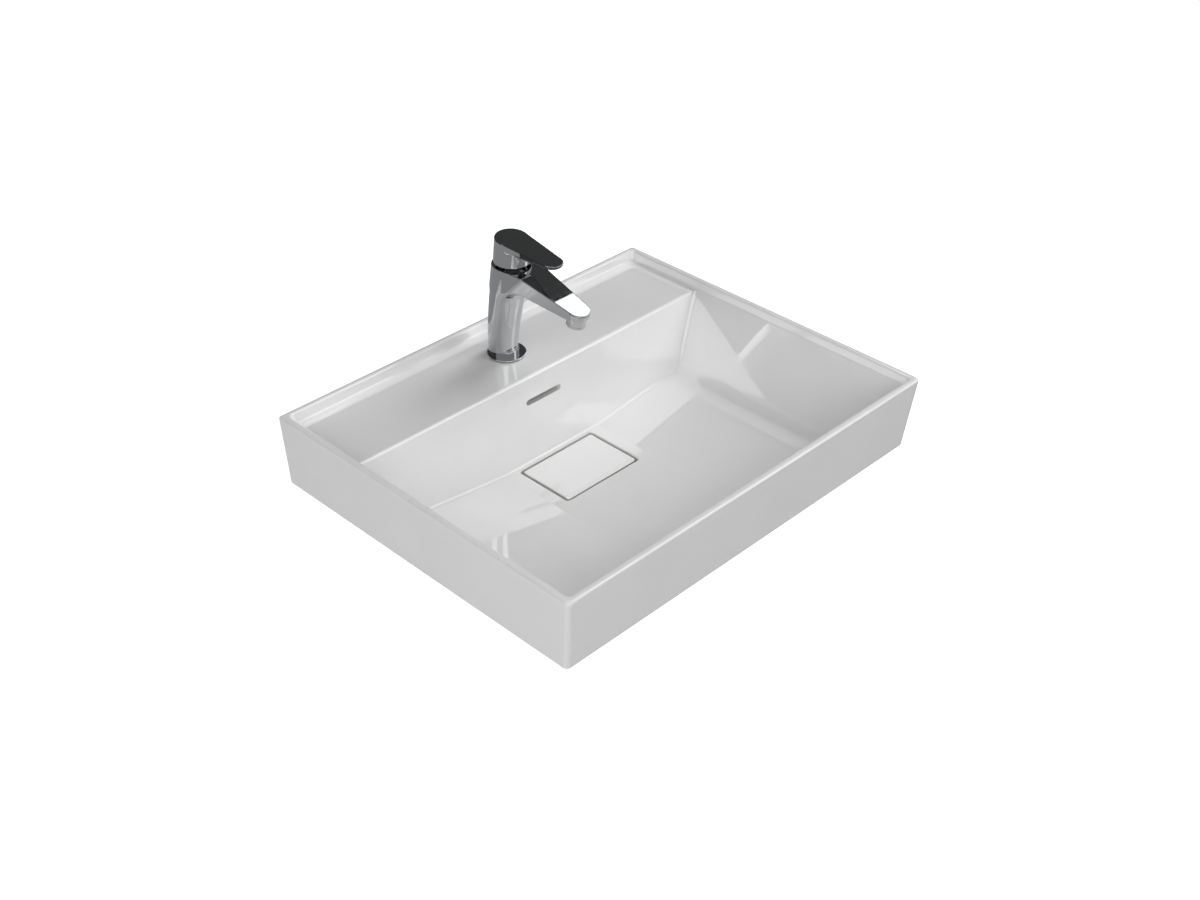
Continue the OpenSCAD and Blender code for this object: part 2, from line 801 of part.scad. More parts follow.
fixing_nut_z = -deck_t - deck_washer_t - bracket_t - fixing_nut_h;
module fixing_nut() {
    color("goldenrod") at_tap(fixing_nut_z) translate([0, stud_y, 0]) difference() {
        cylinder(r = fixing_nut_r, h = fixing_nut_h, $fn = 6);
        translate([0, 0, -over])
            cylinder(r = stud_r + thread_clear, h = fixing_nut_h + 2 * over, $fn = mid);
    }
}

module fixing_stud() {
    foot = fixing_nut_z - stud_below;
    color("gray") at_tap(foot) translate([0, stud_y, 0])
        cylinder(r = stud_r, h = spigot_z + stud_depth - stud_end_gap - foot, $fn = mid);
}

// Cartridge, built up from its seat
cart_seal_t = 1.5;
cart_base_t = 2.5;
cart_base_z = seat_z + cart_seal_t;
disc_z = cart_base_z + cart_base_t;
fixed_disc_t = 3;
moving_disc_t = 2.8;
disc_r = 10.3;
moving_disc_r = 7;
disc_gap = 0.05;
moving_z = disc_z + fixed_disc_t + disc_gap;
chamber_r = 10.4;
turret_r = 9.4;
turret_bore_r = 9.5;
turret_flange_r = 10.1;
turret_flange_t = 2.2;
turret_gap = 0.45;
turret_z = moving_z + moving_disc_t + turret_gap;
chamber_gap = 0.3;
chamber_top = turret_z + turret_flange_t + chamber_gap;
neck_r = 11;
neck_sunk = 1;
neck_top = shoulder_h - neck_sunk;
collar_r = 14;
collar_t = 2.5;
port_r = 2.2;
port_ring = 5.2;
port_count = 3;

// Three water ports through the base and the fixed disc
module ports(z, h) {
    at_axis(z) for (i = [0:port_count - 1]) rotate([0, 0, 360 * i / port_count - 90])
        translate([port_ring, 0, 0]) cylinder(r = port_r, h = h, $fn = mid);
}

module cartridge_body() {
    color("ivory") difference() {
        union() {
            at_axis(cart_base_z)
                cylinder(r = cartridge_r, h = nut_seat_z - cart_base_z + eps, $fn = fine);
            at_axis(nut_seat_z) cylinder(r = collar_r, h = collar_t, $fn = fine);
            at_axis(nut_seat_z) cylinder(r = neck_r, h = neck_top - nut_seat_z, $fn = fine);
        }
        at_axis(disc_z) cylinder(r = chamber_r, h = chamber_top - disc_z, $fn = fine);
        at_axis(disc_z) cylinder(r = turret_bore_r, h = shoulder_h, $fn = fine);
        ports(cart_base_z - over, cart_base_t + 2 * over);
    }
}

notch_w = 3;
notch_t = 2;
nut_proud = 0.5;
module cartridge_nut() {
    z = nut_seat_z + collar_t;
    color("goldenrod") difference() {
        at_axis(z) tube(nut_bore_r - cartridge_clear, neck_r + cartridge_clear, neck_top - z + nut_proud);
        at_axis(neck_top - notch_t) for (a = [0, 90]) rotate([0, 0, a])
            translate([-nut_bore_r - over, -notch_w / 2, 0])
                cube([2 * (nut_bore_r + over), notch_w, shoulder_h]);
    }
}

seal_edge = 0.5;
seal_wall = 0.8;
module cartridge_seal() {
    color("dimgray") at_axis(seat_z)
        tube(cartridge_r - seal_edge, port_ring + port_r + seal_wall, cart_seal_t);
}

module fixed_disc() {
    color("lightgray") difference() {
        at_axis(disc_z) cylinder(r = disc_r, h = fixed_disc_t, $fn = fine);
        ports(disc_z - over, fixed_disc_t + 2 * over);
    }
}

module moving_disc() {
    color("lightgray") at_axis(moving_z) cylinder(r = moving_disc_r, h = moving_disc_t, $fn = fine);
}

// Pivot of the lever and the ball that shifts the disc
pivot_rise = 5.5;
pivot_z = shoulder_h + pivot_rise;
pivot_pin_r = 1.5;
pivot_pin_clear = 0.05;
ball_arm = 9;
ball_r = 3.2;
ball_clear = 0.15;
rod_r = 3.5;
rod_neck_r = 2;
rod_from = 5;
carrier_x = 3.5;
carrier_front = 4.8;
carrier_back = 6.2;
carrier_top = 2.6;
slot_x = 3.8;
slot_front = 8.1;
slot_back = 7.2;
turret_rise = 7;
turret_top = pivot_z + turret_rise;

// Slide that carries the moving disc, with the socket for the ball
module disc_carrier() {
    z = moving_z + moving_disc_t;
    ball_z = pivot_z - ball_arm;
    color("ivory") at_axis() difference() {
        translate([-carrier_x, -carrier_front, z])
            cube([2 * carrier_x, carrier_front + carrier_back, ball_z + carrier_top - z]);
        translate([-carrier_x - over, -ball_r - ball_clear, ball_z - ball_r - ball_clear])
            cube([2 * (carrier_x + over), 2 * (ball_r + ball_clear), 4 * ball_r]);
    }
}

// Turret that turns with the lever, with the slot for its rod
module turret() {
    color("ivory") difference() {
        union() {
            at_axis(turret_z) cylinder(r = turret_flange_r, h = turret_flange_t, $fn = fine);
            at_axis(turret_z) cylinder(r = turret_r, h = turret_top - turret_z, $fn = fine);
        }
        at_axis(turret_z - over) translate([-slot_x, -slot_front, 0])
            cube([2 * slot_x, slot_front + slot_back, turret_top]);
        at_axis(pivot_z) rotate([0, 90, 0]) translate([0, 0, -turret_r - over])
            cylinder(r = pivot_pin_r + pivot_pin_clear, h = 2 * (turret_r + over), $fn = mid);
    }
}

// Lower edge, top and hollow of the handle cap, and the spindle in its boss
cap_z = shoulder_h + cap_gap;
handle_h = cap_z + cap_h;
cap_crown_t = 12;
cap_hollow_z = handle_h - cap_crown_t;
square_w = 8;
square_gap = 2.5;
square_z = turret_top + square_gap;
square_in = 6;
square_top = cap_hollow_z + square_in;
pin_half = 9;
module spindle() {
    ball_z = pivot_z - ball_arm;
    color("goldenrod") {
        at_axis(ball_z) sphere(ball_r, $fn = mid);
        at_axis(ball_z) cylinder(r = rod_neck_r, h = rod_from + eps, $fn = mid);
        at_axis(ball_z + rod_from) cylinder(r = rod_r, h = square_z - ball_z - rod_from + eps, $fn = mid);
        at_axis(square_z) translate([-square_w / 2, -square_w / 2, 0])
            cube([square_w, square_w, square_top - square_z]);
        at_axis(pivot_z) rotate([0, 90, 0]) translate([0, 0, -pin_half])
            cylinder(r = pivot_pin_r, h = 2 * pin_half, $fn = mid);
    }
}

// Handle

cap_wall = 2.6;
boss_r = 8.5;
boss_h = 5;
boss_z = cap_hollow_z - boss_h;
socket_clear = 0.05;
lift_clear = 0.6;
grub_drop = 2;
grub_z = cap_hollow_z - grub_drop;
grub_r = 2.5;
grub_l = 4;
plug_hole_r = 3.6;
lever_root_t = 11;

// Top of the lever at distance d in front of the cap axis
function lever_top(d) = handle_h - lever_fall * d;

module lever_side() {
    tip = lever_reach + lever_end_r + over;
    polygon([
        [axis_y + 2 * cap_r, lever_top(-2 * cap_r)], [axis_y - tip, lever_top(tip)],
        [axis_y - tip, lever_top(tip) - lever_t],
        [axis_y - cap_r, lever_top(cap_r) - lever_root_t],
        [axis_y + 2 * cap_r, lever_top(cap_r) - lever_root_t]
    ]);
}

// Outside of the cap, cut off by the sloping top
module cap_solid() {
    h = lever_top(-cap_r) - cap_z + over;
    intersection() {
        at_axis(cap_z) cylinder(r1 = cap_r, r2 = cap_top_r, h = h, $fn = fine);
        at_tap() across(4 * cap_r) polygon([
            [axis_y + 2 * cap_r, lever_top(-2 * cap_r)], [axis_y - 2 * cap_r, lever_top(2 * cap_r)],
            [axis_y - 2 * cap_r, 0], [axis_y + 2 * cap_r, 0]
        ]);
    }
}

// Space that the cap leaves over the shoulder when the lever is lifted
module lift_relief() {
    at_axis(pivot_z) rotate([lift_angle, 0, 0])
        translate([-2 * cap_r, -2 * cap_r, -4 * cap_r + shoulder_h + lift_clear - pivot_z])
            cube(4 * cap_r);
}

module handle() {
    color("silver") difference() {
        union() {
            difference() {
                union() {
                    cap_solid();
                    intersection() {
                        at_tap() across(4 * cap_r) lever_side();
                        at_tap() linear_extrude(handle_h + cap_r)
                            tapered_slot(axis_y, cap_top_r, axis_y - lever_reach, lever_end_r);
                    }
                }
                at_axis(cap_z - over)
                    cylinder(r = cap_r - cap_wall, h = cap_hollow_z - cap_z + over, $fn = fine);
            }
            at_axis(boss_z) cylinder(r = boss_r, h = cap_hollow_z - boss_z + over, $fn = mid);
        }
        at_axis(boss_z - over) translate([-square_w / 2 - socket_clear, -square_w / 2 - socket_clear, 0])
            cube([square_w + 2 * socket_clear, square_w + 2 * socket_clear,
                  square_top - boss_z + over + socket_clear]);
        at_axis(grub_z) rotate([-90, 0, 0]) {
            cylinder(r = grub_r + thread_clear, h = boss_r + over, $fn = mid);
            translate([0, 0, boss_r + over]) cylinder(r = plug_hole_r, h = cap_r, $fn = mid);
        }
        lift_relief();
    }
}

module grub_screw() {
    color("dimgray") at_axis(grub_z) rotate([-90, 0, 0])
        translate([0, 0, square_w / 2 + socket_clear]) cylinder(r = grub_r, h = grub_l, $fn = mid);
}

// Plug in the back of the cap, over the grub screw
screw_plug_t = 1.6;
plug_sunk = 0.2;
module screw_plug() {
    back = cap_r - (cap_r - cap_top_r) * (grub_z - cap_z) / (lever_top(-cap_r) - cap_z) - plug_sunk;
    color("silver") at_axis(grub_z) rotate([-90, 0, 0])
        translate([0, 0, back - screw_plug_t])
            cylinder(r = plug_hole_r - thread_clear, h = screw_plug_t, $fn = mid);
}

// Aerator

rim_t = 3;
rim_r = 12.3;
insert_clear = 0.1;
insert_h = 9;
insert_up = 1;
housing_wall = 1.5;
housing_in_r = aerator_r - housing_wall;
insert_r = housing_in_r - insert_clear;
aer_seal_t = 2;
aer_seal_lip = 2;

module aerator_housing() {
    color("silver") at_nose(-nose_drop) {
        tube(rim_r, housing_in_r, rim_t, -rim_t);
        tube(aerator_r, housing_in_r, aerator_h - aer_seal_t);
    }
}

// Insert with its rings of outlet holes
grid_rings = 2;
grid_step = 3.1;
grid_hole_r = 1;
module aerator_insert() {
    color("whitesmoke") at_nose(-nose_drop - rim_t + insert_up) difference() {
        cylinder(r = insert_r, h = insert_h, $fn = mid);
        translate([0, 0, -over]) cylinder(r = grid_hole_r, h = insert_h + 2 * over, $fn = few);
        for (k = [1:grid_rings]) for (i = [0:6 * k - 1]) rotate([0, 0, 60 * i / k])
            translate([k * grid_step, 0, -over])
                cylinder(r = grid_hole_r, h = insert_h + 2 * over, $fn = few);
    }
}

module aerator_seal() {
    color("dimgray") at_nose(-nose_drop + aerator_h - aer_seal_t)
        tube(aerator_r - insert_clear, housing_in_r - aer_seal_lip, aer_seal_t);
}

basin();
waste_cover();
plug_cap();
plug_seal();
click_stem();
click_spring();
click_housing();
waste_body();
waste_gasket();
waste_washer();
waste_nut();
tap_body();
base_ring();
base_gasket();
fixing_stud();
deck_washer();
deck_bracket();
fixing_nut();
cartridge_body();
cartridge_nut();
cartridge_seal();
fixed_disc();
moving_disc();
disc_carrier();
turret();
spindle();
handle();
grub_screw();
screw_plug();
aerator_housing();
aerator_insert();
aerator_seal();
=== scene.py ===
# %% [markdown]
# # A washbasin with its mixer tap and covered waste
# This is a wall-hung ceramic basin, 600 mm wide, with a flat tap deck, a wide bowl with a
# sloping floor, and a loose ceramic plate over the waste. A chromed single-lever mixer stands
# on the deck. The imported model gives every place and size. Here the large pieces are made
# again with the soft edges and finishes of the real ones, and small parts keep their shape
# and get their material. Sizes are written in millimetres and turned into metres once.

# %% Load the frame
import bpy
import bmesh
import json
import math
import numpy as np
from mathutils import Matrix, Vector

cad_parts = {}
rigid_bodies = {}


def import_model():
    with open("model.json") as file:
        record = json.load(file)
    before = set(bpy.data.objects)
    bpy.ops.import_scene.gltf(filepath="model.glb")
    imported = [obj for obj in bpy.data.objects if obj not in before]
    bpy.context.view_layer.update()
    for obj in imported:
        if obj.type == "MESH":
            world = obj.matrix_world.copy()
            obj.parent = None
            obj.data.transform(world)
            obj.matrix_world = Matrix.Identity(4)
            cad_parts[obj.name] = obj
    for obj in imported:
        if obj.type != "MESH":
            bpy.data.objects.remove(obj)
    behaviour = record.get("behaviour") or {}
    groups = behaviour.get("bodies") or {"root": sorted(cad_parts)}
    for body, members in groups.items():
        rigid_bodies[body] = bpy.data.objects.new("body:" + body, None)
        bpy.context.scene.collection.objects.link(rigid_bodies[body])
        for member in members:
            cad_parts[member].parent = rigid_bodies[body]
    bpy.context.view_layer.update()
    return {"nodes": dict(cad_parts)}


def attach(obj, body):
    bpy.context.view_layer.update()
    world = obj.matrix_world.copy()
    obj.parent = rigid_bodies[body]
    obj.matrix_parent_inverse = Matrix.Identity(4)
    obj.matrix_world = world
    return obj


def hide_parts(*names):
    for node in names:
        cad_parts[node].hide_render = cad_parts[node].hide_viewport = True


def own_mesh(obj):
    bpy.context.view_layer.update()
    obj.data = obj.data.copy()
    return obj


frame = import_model()
nodes = frame["nodes"]
MM = 0.001


def in_scene(name, data):
    """Object with this data, linked to the scene."""
    made = bpy.data.objects.new(name, data)
    bpy.context.scene.collection.objects.link(made)
    return made


# %% [markdown]
# ## The camera
# The photograph looks down at the front left corner of the basin. Its camera was found by
# fitting the straight edges of the rim, skirt and deck, so the turn, height, roll and lens
# below are measured values. A camera could also be placed by eye and aimed with a constraint,
# but a fitted one lets the render be laid over the photograph edge for edge.

# %% Camera from the fitted view
VIEW_TURN = math.radians(-45.64)
VIEW_HEIGHT = math.radians(34.77)
VIEW_ROLL = math.radians(0.32)
VIEW_FOCUS_PX = 1649.02
VIEW_SHIFT_MM = (4.92, 32.2, 1984.66)
VIEW_AIM_MM = Vector((0.0, -240.0, 20.0))
SENSOR_MM = 36.0
PHOTO_WIDTH_PX = 1200.0


def fitted_camera():
    """Camera with the turn, height, roll and lens of the photograph."""
    back = Vector((math.sin(VIEW_TURN) * math.cos(VIEW_HEIGHT),
                   -math.cos(VIEW_TURN) * math.cos(VIEW_HEIGHT), math.sin(VIEW_HEIGHT)))
    level = Vector((math.cos(VIEW_TURN), math.sin(VIEW_TURN), 0.0))
    above = back.cross(level)
    right = level * math.cos(VIEW_ROLL) + above * math.sin(VIEW_ROLL)
    up = above * math.cos(VIEW_ROLL) - level * math.sin(VIEW_ROLL)
    turn = Matrix((right, up, back))
    shift_x, shift_y, distance = VIEW_SHIFT_MM
    place = turn.transposed() @ Vector((-shift_x, -shift_y, distance)) + VIEW_AIM_MM
    data = bpy.data.cameras.new("photo_camera")
    data.sensor_width = SENSOR_MM
    data.lens = VIEW_FOCUS_PX * SENSOR_MM / PHOTO_WIDTH_PX
    camera = in_scene("photo_camera", data)
    camera.matrix_world = Matrix.Translation(place * MM) @ turn.transposed().to_4x4()
    bpy.context.scene.camera = camera
    return camera


camera = fitted_camera()
print("camera at", [round(x, 3) for x in camera.location], "lens", round(camera.data.lens, 2))

# %% [markdown]
# ## Helpers for materials
# Every finish is a small tree of shader nodes that reads Object coordinates, so it needs no
# unwrapping and keeps its real scale. One helper adds a node and sets its sockets. Colours are
# written as they look on screen and turned into linear light once.

# %% Material helpers
NOISE_LOW, NOISE_HIGH = 0.3, 0.7


def linear(hex_colour):
    """Linear light of a colour written as it looks on screen."""
    parts = [int(hex_colour[i:i + 2], 16) / 255 for i in (1, 3, 5)]
    light = [c / 12.92 if c <= 0.04045 else ((c + 0.055) / 1.055) ** 2.4 for c in parts]
    return (*light, 1.0)


def add(tree, kind, inputs=None, **settings):
    """Adds one node, sets its properties and its inputs. A socket given as input is linked."""
    made = tree.nodes.new(kind)
    for name, value in settings.items():
        setattr(made, name, value)
    for name, value in (inputs or {}).items():
        socket = made.inputs[name]
        if isinstance(value, bpy.types.NodeSocket):
            tree.links.new(value, socket)
        else:
            socket.default_value = value
    return made


def empty_material(name):
    """New material with only its output, and the tree to fill."""
    made = bpy.data.materials.new(name)
    made.use_nodes = True
    made.node_tree.nodes.clear()
    output = add(made.node_tree, "ShaderNodeOutputMaterial")
    return made, made.node_tree, output


def close_material(tree, output, shader):
    """Links the shader to the surface of the material."""
    tree.links.new(shader.outputs[0], output.inputs["Surface"])


def object_place(tree):
    """Socket with the Object coordinates."""
    return add(tree, "ShaderNodeTexCoord").outputs["Object"]


def noise(tree, size_mm, detail=2.0, stretch=(1.0, 1.0, 1.0)):
    """Noise whose spots are about size_mm across, as a number socket."""
    mapped = add(tree, "ShaderNodeMapping", {"Vector": object_place(tree), "Scale": stretch})
    spots = add(tree, "ShaderNodeTexNoise", {"Vector": mapped.outputs["Vector"],
                                             "Scale": 1.0 / (size_mm * MM), "Detail": detail})
    return spots.outputs["Fac"]


def between(tree, factor, low, high):
    """Number that runs from low to high over the range in which noise lies."""
    made = add(tree, "ShaderNodeMapRange", {"Value": factor, "From Min": NOISE_LOW,
                                            "From Max": NOISE_HIGH, "To Min": low, "To Max": high})
    return made.outputs["Result"]


def tint(tree, factor, low_hex, high_hex):
    """Colour between two colours, by factor."""
    made = add(tree, "ShaderNodeMix", {"Factor": between(tree, factor, 0.0, 1.0)}, data_type="RGBA")
    low, high = [s for s in made.inputs if s.type == "RGBA"]
    low.default_value, high.default_value = linear(low_hex), linear(high_hex)
    return [s for s in made.outputs if s.type == "RGBA"][0]


def bumps(tree, *layers, smooth_edge_mm=0.0):
    """Stacked bumps, each (height socket, height in mm, strength), over softened edges."""
    normal = None
    if smooth_edge_mm:
        bevel = add(tree, "ShaderNodeBevel", {"Radius": smooth_edge_mm * MM}, samples=6)
        normal = bevel.outputs["Normal"]
    for height, high_mm, strength in layers:
        inputs = {"Height": height, "Distance": high_mm * MM, "Strength": strength}
        if normal is not None:
            inputs["Normal"] = normal
        normal = add(tree, "ShaderNodeBump", inputs).outputs["Normal"]
    return normal


def finished(name, colours, spots, rough, haze, layers, edge_mm=0.0, extra=None, **looks):
    """Material whose colour and roughness change over noise, with bumps and softened edges.

    colours and rough are the two ends of each change; spots and haze are the noise behind it.
    Each layer of bumps is its noise, height in mm and strength; extra makes one more layer.
    """
    made, tree, output = empty_material(name)
    heights = [(noise(tree, *grain), high_mm, strength) for grain, high_mm, strength in layers]
    if extra:
        heights.append(extra(tree))
    close_material(tree, output, add(tree, "ShaderNodeBsdfPrincipled", {
        "Base Color": tint(tree, noise(tree, *spots), *colours),
        "Roughness": between(tree, noise(tree, *haze), *rough),
        "Normal": bumps(tree, *heights, smooth_edge_mm=edge_mm), **looks}))
    return made


print("material helpers are ready")

# %% [markdown]
# ## Glazed ceramic and bare clay
# A basin is cast from clay, sprayed with a white glaze and fired. The glaze is glass: it is
# smooth and sharp in its reflections, yet never quite flat, so it gets a wide, shallow ripple
# and a few pinholes. It also runs thick into corners, which rounds every edge by about a
# millimetre. A Bevel node gives that roundness to the light without more geometry. Underneath
# the glaze is thin and dull. In the sump, in the duct and on the cover's sides the glaze is
# painted greyer than real glaze, as painted shade, so that the narrow gaps look as dark as in
# the photograph. The face against the wall and the foot are left bare and show grainy clay.

# %% Ceramic materials
GLAZE_RIPPLE_MM = 26.0
GLAZE_ORANGE_PEEL_MM = 5.0
GLAZE_EDGE_MM = 1.3
# Far above real glaze, which is about 1.5: chosen for mirror images as strong as photographed
GLAZE_IOR = 2.4
PINHOLE_GAP_MM, PINHOLE_CORE, PINHOLE_RIM = 38.0, 0.004, 0.012


def pinholes(tree):
    """Layer of bumps: small pits where bubbles burst in the kiln."""
    pins = add(tree, "ShaderNodeTexVoronoi",
               {"Vector": object_place(tree), "Scale": 1 / (PINHOLE_GAP_MM * MM)})
    pit = add(tree, "ShaderNodeMapRange", {"Value": pins.outputs["Distance"],
                                           "From Min": PINHOLE_CORE, "From Max": PINHOLE_RIM})
    return pit.outputs["Result"], 0.05, 0.5


def glaze_finish(name, colours, rough, edge_mm):
    """White glaze: a glassy coat over clay, with ripple, pinholes and a slight colour change."""
    return finished(name, colours, (90.0,), rough, (45.0, 4.0),
                    [((GLAZE_RIPPLE_MM, 1.0), 0.03, 0.5),
                     ((GLAZE_ORANGE_PEEL_MM, 1.0), 0.002, 0.5)],
                    edge_mm, pinholes, IOR=GLAZE_IOR)


white_glaze = glaze_finish("white_glaze", ("#F4F4F4", "#F7F7F7"), (0.0, 0.04), GLAZE_EDGE_MM)
thin_glaze = glaze_finish("thin_glaze", ("#E6E4DE", "#ECEAE5"), (0.28, 0.5), GLAZE_EDGE_MM)
# Bare fired clay is matt and slightly warm, with a fine grain
bare_clay = finished("bare_clay", ("#D9D3C6", "#E6E1D6"), (9.0, 5.0), (0.75, 0.9), (6.0,),
                     [((0.8, 3.0), 0.12, 0.6), ((14.0, 2.0), 0.3, 0.3)])
# Painted shade: a greyer glaze in the sump, in the duct and on the cover's sides, so the gaps look
# dark
painted_shade_glaze = glaze_finish("painted_shade_glaze", ("#D0CFCC", "#DAD9D6"), (0.3, 0.5), 0.5)
print("ceramic:", white_glaze.name, thin_glaze.name, bare_clay.name, painted_shade_glaze.name)

# %% [markdown]
# ## Metals
# Chrome plate is a thin hard mirror over polished brass. It takes nearly all its looks from
# what stands round it, so its own tree only adds the small things: faint polishing haze, water
# film and fine wipe marks that spread the highlights. The plate under the lever looks dark in
# the photograph, most likely only from what it mirrors. This studio lacks that, so a darker and
# hazier plate is painted there: a painted dark reflection and painted shade. Brass, zinc-plated
# steel and spring steel are duller and show turning marks. All keep the metal default for how light
# enters them.

# %% Metal materials
def metal_finish(name, colours, rough, grain_mm, grain_high_mm, edge_mm=0.0,
                 stretch=(1.0, 1.0, 1.0)):
    """Metal with a colour change, a changing polish and a grain that may be drawn out one way."""
    return finished(name, colours, (30.0, 3.0), rough, (12.0, 5.0),
                    [((grain_mm, 2.0, stretch), grain_high_mm, 0.5)], edge_mm, Metallic=1.0)


chrome = metal_finish("chrome_plate", ("#C0C2C4", "#C5C7C9"), (0.0, 0.035), 9.0, 0.0015)
chrome_edged = metal_finish("chrome_plate_small_parts", ("#BEC0C3", "#C5C7C9"), (0.03, 0.08),
                            4.0, 0.002, 0.35)
# Painted shade and painted dark reflection: a darker, hazier plate under the lever and on its outer
# sides
chrome_painted_shade = metal_finish("chrome_underside_painted_shade", ("#4A4C4E", "#55575A"), (0.08, 0.16),
                             9.0, 0.0015)
brass = metal_finish("turned_brass", ("#B98F3E", "#CDA552"), (0.18, 0.34), 0.5, 0.01, 0.25,
                     (1.0, 1.0, 12.0))
zinc_steel = metal_finish("zinc_plated_steel", ("#A4A9AC", "#BCC1C4"), (0.22, 0.42), 3.0, 0.02,
                          0.25)
steel_wire = metal_finish("spring_steel_wire", ("#7E8184", "#979A9D"), (0.2, 0.36), 0.6, 0.005)
print("metals:", chrome.name, chrome_edged.name, chrome_painted_shade.name, brass.name,
      zinc_steel.name, steel_wire.name)

# %% [markdown]
# ## Rubber, plastic and lapped ceramic
# Gaskets are black rubber with a matt skin and a little bloom. The nut, the click cartridge and
# the tap cartridge are moulded plastic with a fine spark-eroded grain. The two discs inside the
# cartridge are hard ceramic ground dead flat, satin rather than glazed.

# %% Soft and moulded materials
def moulded_finish(name, colours, rough, grain_mm, grain_high_mm, edge_mm=0.3):
    """Moulded or ground material: even colour, fine grain and slightly rounded edges."""
    return finished(name, colours, (22.0, 4.0), rough, (8.0, 3.0),
                    [((grain_mm, 2.0), grain_high_mm, 0.5)], edge_mm)


black_rubber = moulded_finish("black_rubber", ("#1B1C1D", "#2A2B2C"), (0.5, 0.72), 0.6, 0.02)
white_plastic = moulded_finish("moulded_plastic", ("#DEDCD5", "#E8E6E0"), (0.3, 0.45), 0.4, 0.01)
lapped_disc = moulded_finish("lapped_ceramic", ("#DCD3C0", "#E6DECD"), (0.18, 0.3), 0.25, 0.003,
                             0.15)
print("moulded:", black_rubber.name, white_plastic.name, lapped_disc.name)

# %% [markdown]
# ## How the large pieces are made
# The basin is cast in a mould whose faces are drawn out of each other, so each face has a small
# draft and each corner a radius. It could be sculpted or modelled by hand with subdivision, but
# its shape is a plain sum and difference of simple solids, so it is built the way the mould is:
# lofts through rounded rectangles, one smooth hull for the bowl, and cuts. The solids here have
# far more steps in their curves than the CAD ones, so that the glaze reflects cleanly.

# %% Sizes of the basin, in mm
BASIN_W, BASIN_D, SKIRT_H = 600.0, 484.0, 99.0
SIDE_DRAFT, FRONT_DRAFT = 6.3, 10.0
FRONT_CORNER_R, WALL_CORNER_R, INNER_CORNER_R, UNDER_CORNER_R = 6.0, 3.0, 7.0, 6.0
EDGE_R, RIM_OUT_R, FOOT_EDGE_R, DECK_FOOT_R, DECK_EDGE_R = 2.5, 3.8, 1.5, 4.0, 4.5
RIM_W, RIM_DRAFT, WALL_T = 9.0, 3.5, 9.0
SKIRT_Z, RIM_Z, DECK_Z, DECK_UNDER_Z, FLOOR_Z = -40.0, 59.0, 45.0, 31.0, -63.0
DECK_D = 128.5
BOWL_FOOT_X, FLAT_HALF_W, WING_RISE = 238.0, 80.0, 0.1
REAR_LEAN, FRONT_LEAN = 0.2, 0.33
BOWL_FILLET_R, SIDE_FILLET_R = 5.0, 26.0
SUMP_W, SUMP_D, SUMP_R, SUMP_Z = 125.1, 86.0, 4.5, -97.0
WASTE_Y, WASTE_HOLE_R, OUTLET_Z, OUTLET_T = -198.15, 23.0, -127.0, 30.0
TAP_Y, TAP_HOLE_R = -68.7, 17.5
ROUND_STEPS, CORNER_STEPS, FILLET_STEPS, CIRCLE_STEPS = 8, 12, 16, 96
# How far a cut reaches past the face that it opens
OVER = 1.0


def drafted(z):
    """How far down the skirt a height is, from 0 at the rim to 1 at the foot."""
    return 1 - (z - SKIRT_Z) / SKIRT_H


def skirt_outline(z, inset=0.0):
    """Half width, back and front of the skirt at height z, moved in by inset."""
    return (BASIN_W / 2 - SIDE_DRAFT * drafted(z) - inset, -inset,
            -BASIN_D + FRONT_DRAFT * drafted(z) + inset)


def tray_outline(z, inset=0.0):
    """The same for the inner face of the rim."""
    lean = RIM_DRAFT * (RIM_Z - z) / (RIM_Z - DECK_Z)
    edge = RIM_W + lean + inset
    return BASIN_W / 2 - edge, -edge, -BASIN_D + edge


def rear_y(z):
    """Y of the bowl's leaning rear wall at height z."""
    return -DECK_D - REAR_LEAN * (DECK_Z - z)


def front_y(z):
    """Y of the bowl's leaning front wall at height z."""
    return tray_outline(DECK_Z)[2] + FRONT_LEAN * (DECK_Z - z)


print("bowl floor from", round(front_y(FLOOR_Z)), "to", round(rear_y(FLOOR_Z)), "mm")

# %% Helpers for solids
def new_object(name, points_mm, faces):
    """Mesh object from points in mm."""
    mesh = bpy.data.meshes.new(name)
    mesh.from_pydata([(x * MM, y * MM, z * MM) for x, y, z in points_mm], [], faces)
    return in_scene(name, mesh)


def outward(made):
    """Turns every face of a closed solid outward."""
    body = bmesh.new()
    body.from_mesh(made.data)
    bmesh.ops.recalc_face_normals(body, faces=body.faces)
    body.to_mesh(made.data)
    body.free()
    return made


def rounded_ring(outline, back_r, front_r, z):
    """Points of a rounded rectangle, anticlockwise seen from above."""
    half, back, front = outline
    corners = ((half - back_r, back - back_r, back_r, 0),
               (-half + back_r, back - back_r, back_r, 90),
               (-half + front_r, front + front_r, front_r, 180),
               (half - front_r, front + front_r, front_r, 270))
    ring = []
    for cx, cy, r, start in corners:
        for i in range(CORNER_STEPS + 1):
            a = math.radians(start + 90 * i / CORNER_STEPS)
            ring.append((cx + r * math.cos(a), cy + r * math.sin(a), z))
    return ring


def loft(name, rings):
    """Closed solid through rings with the same number of points, from the lowest up."""
    n = len(rings[0])
    faces = [tuple(reversed(range(n)))]
    for k in range(len(rings) - 1):
        a, b = k * n, (k + 1) * n
        faces += [(a + i, a + (i + 1) % n, b + (i + 1) % n, b + i) for i in range(n)]
    faces.append(tuple(range((len(rings) - 1) * n, len(rings) * n)))
    made = new_object(name, [p for ring in rings for p in ring], faces)
    return outward(made)


def turned(name, centre, axis, radius, low, high, steps=CIRCLE_STEPS):
    """Round bar along an axis ("Y" or "Z") through centre, from low to high."""
    rings = []
    for level in (low, high):
        ring = []
        for i in range(steps):
            a = 2 * math.pi * i / steps
            u, v = radius * math.cos(a), radius * math.sin(a)
            ring.append((centre[0] + u, centre[1] + v, level) if axis == "Z"
                        else (centre[0] + u, level, centre[1] - v))
        rings.append(ring)
    return loft(name, rings)


def across(name, width, profile):
    """A profile drawn in Y and Z, drawn out along X by width, centred."""
    rings = [[(x, y, z) for y, z in profile] for x in (-width / 2, width / 2)]
    return loft(name, rings)


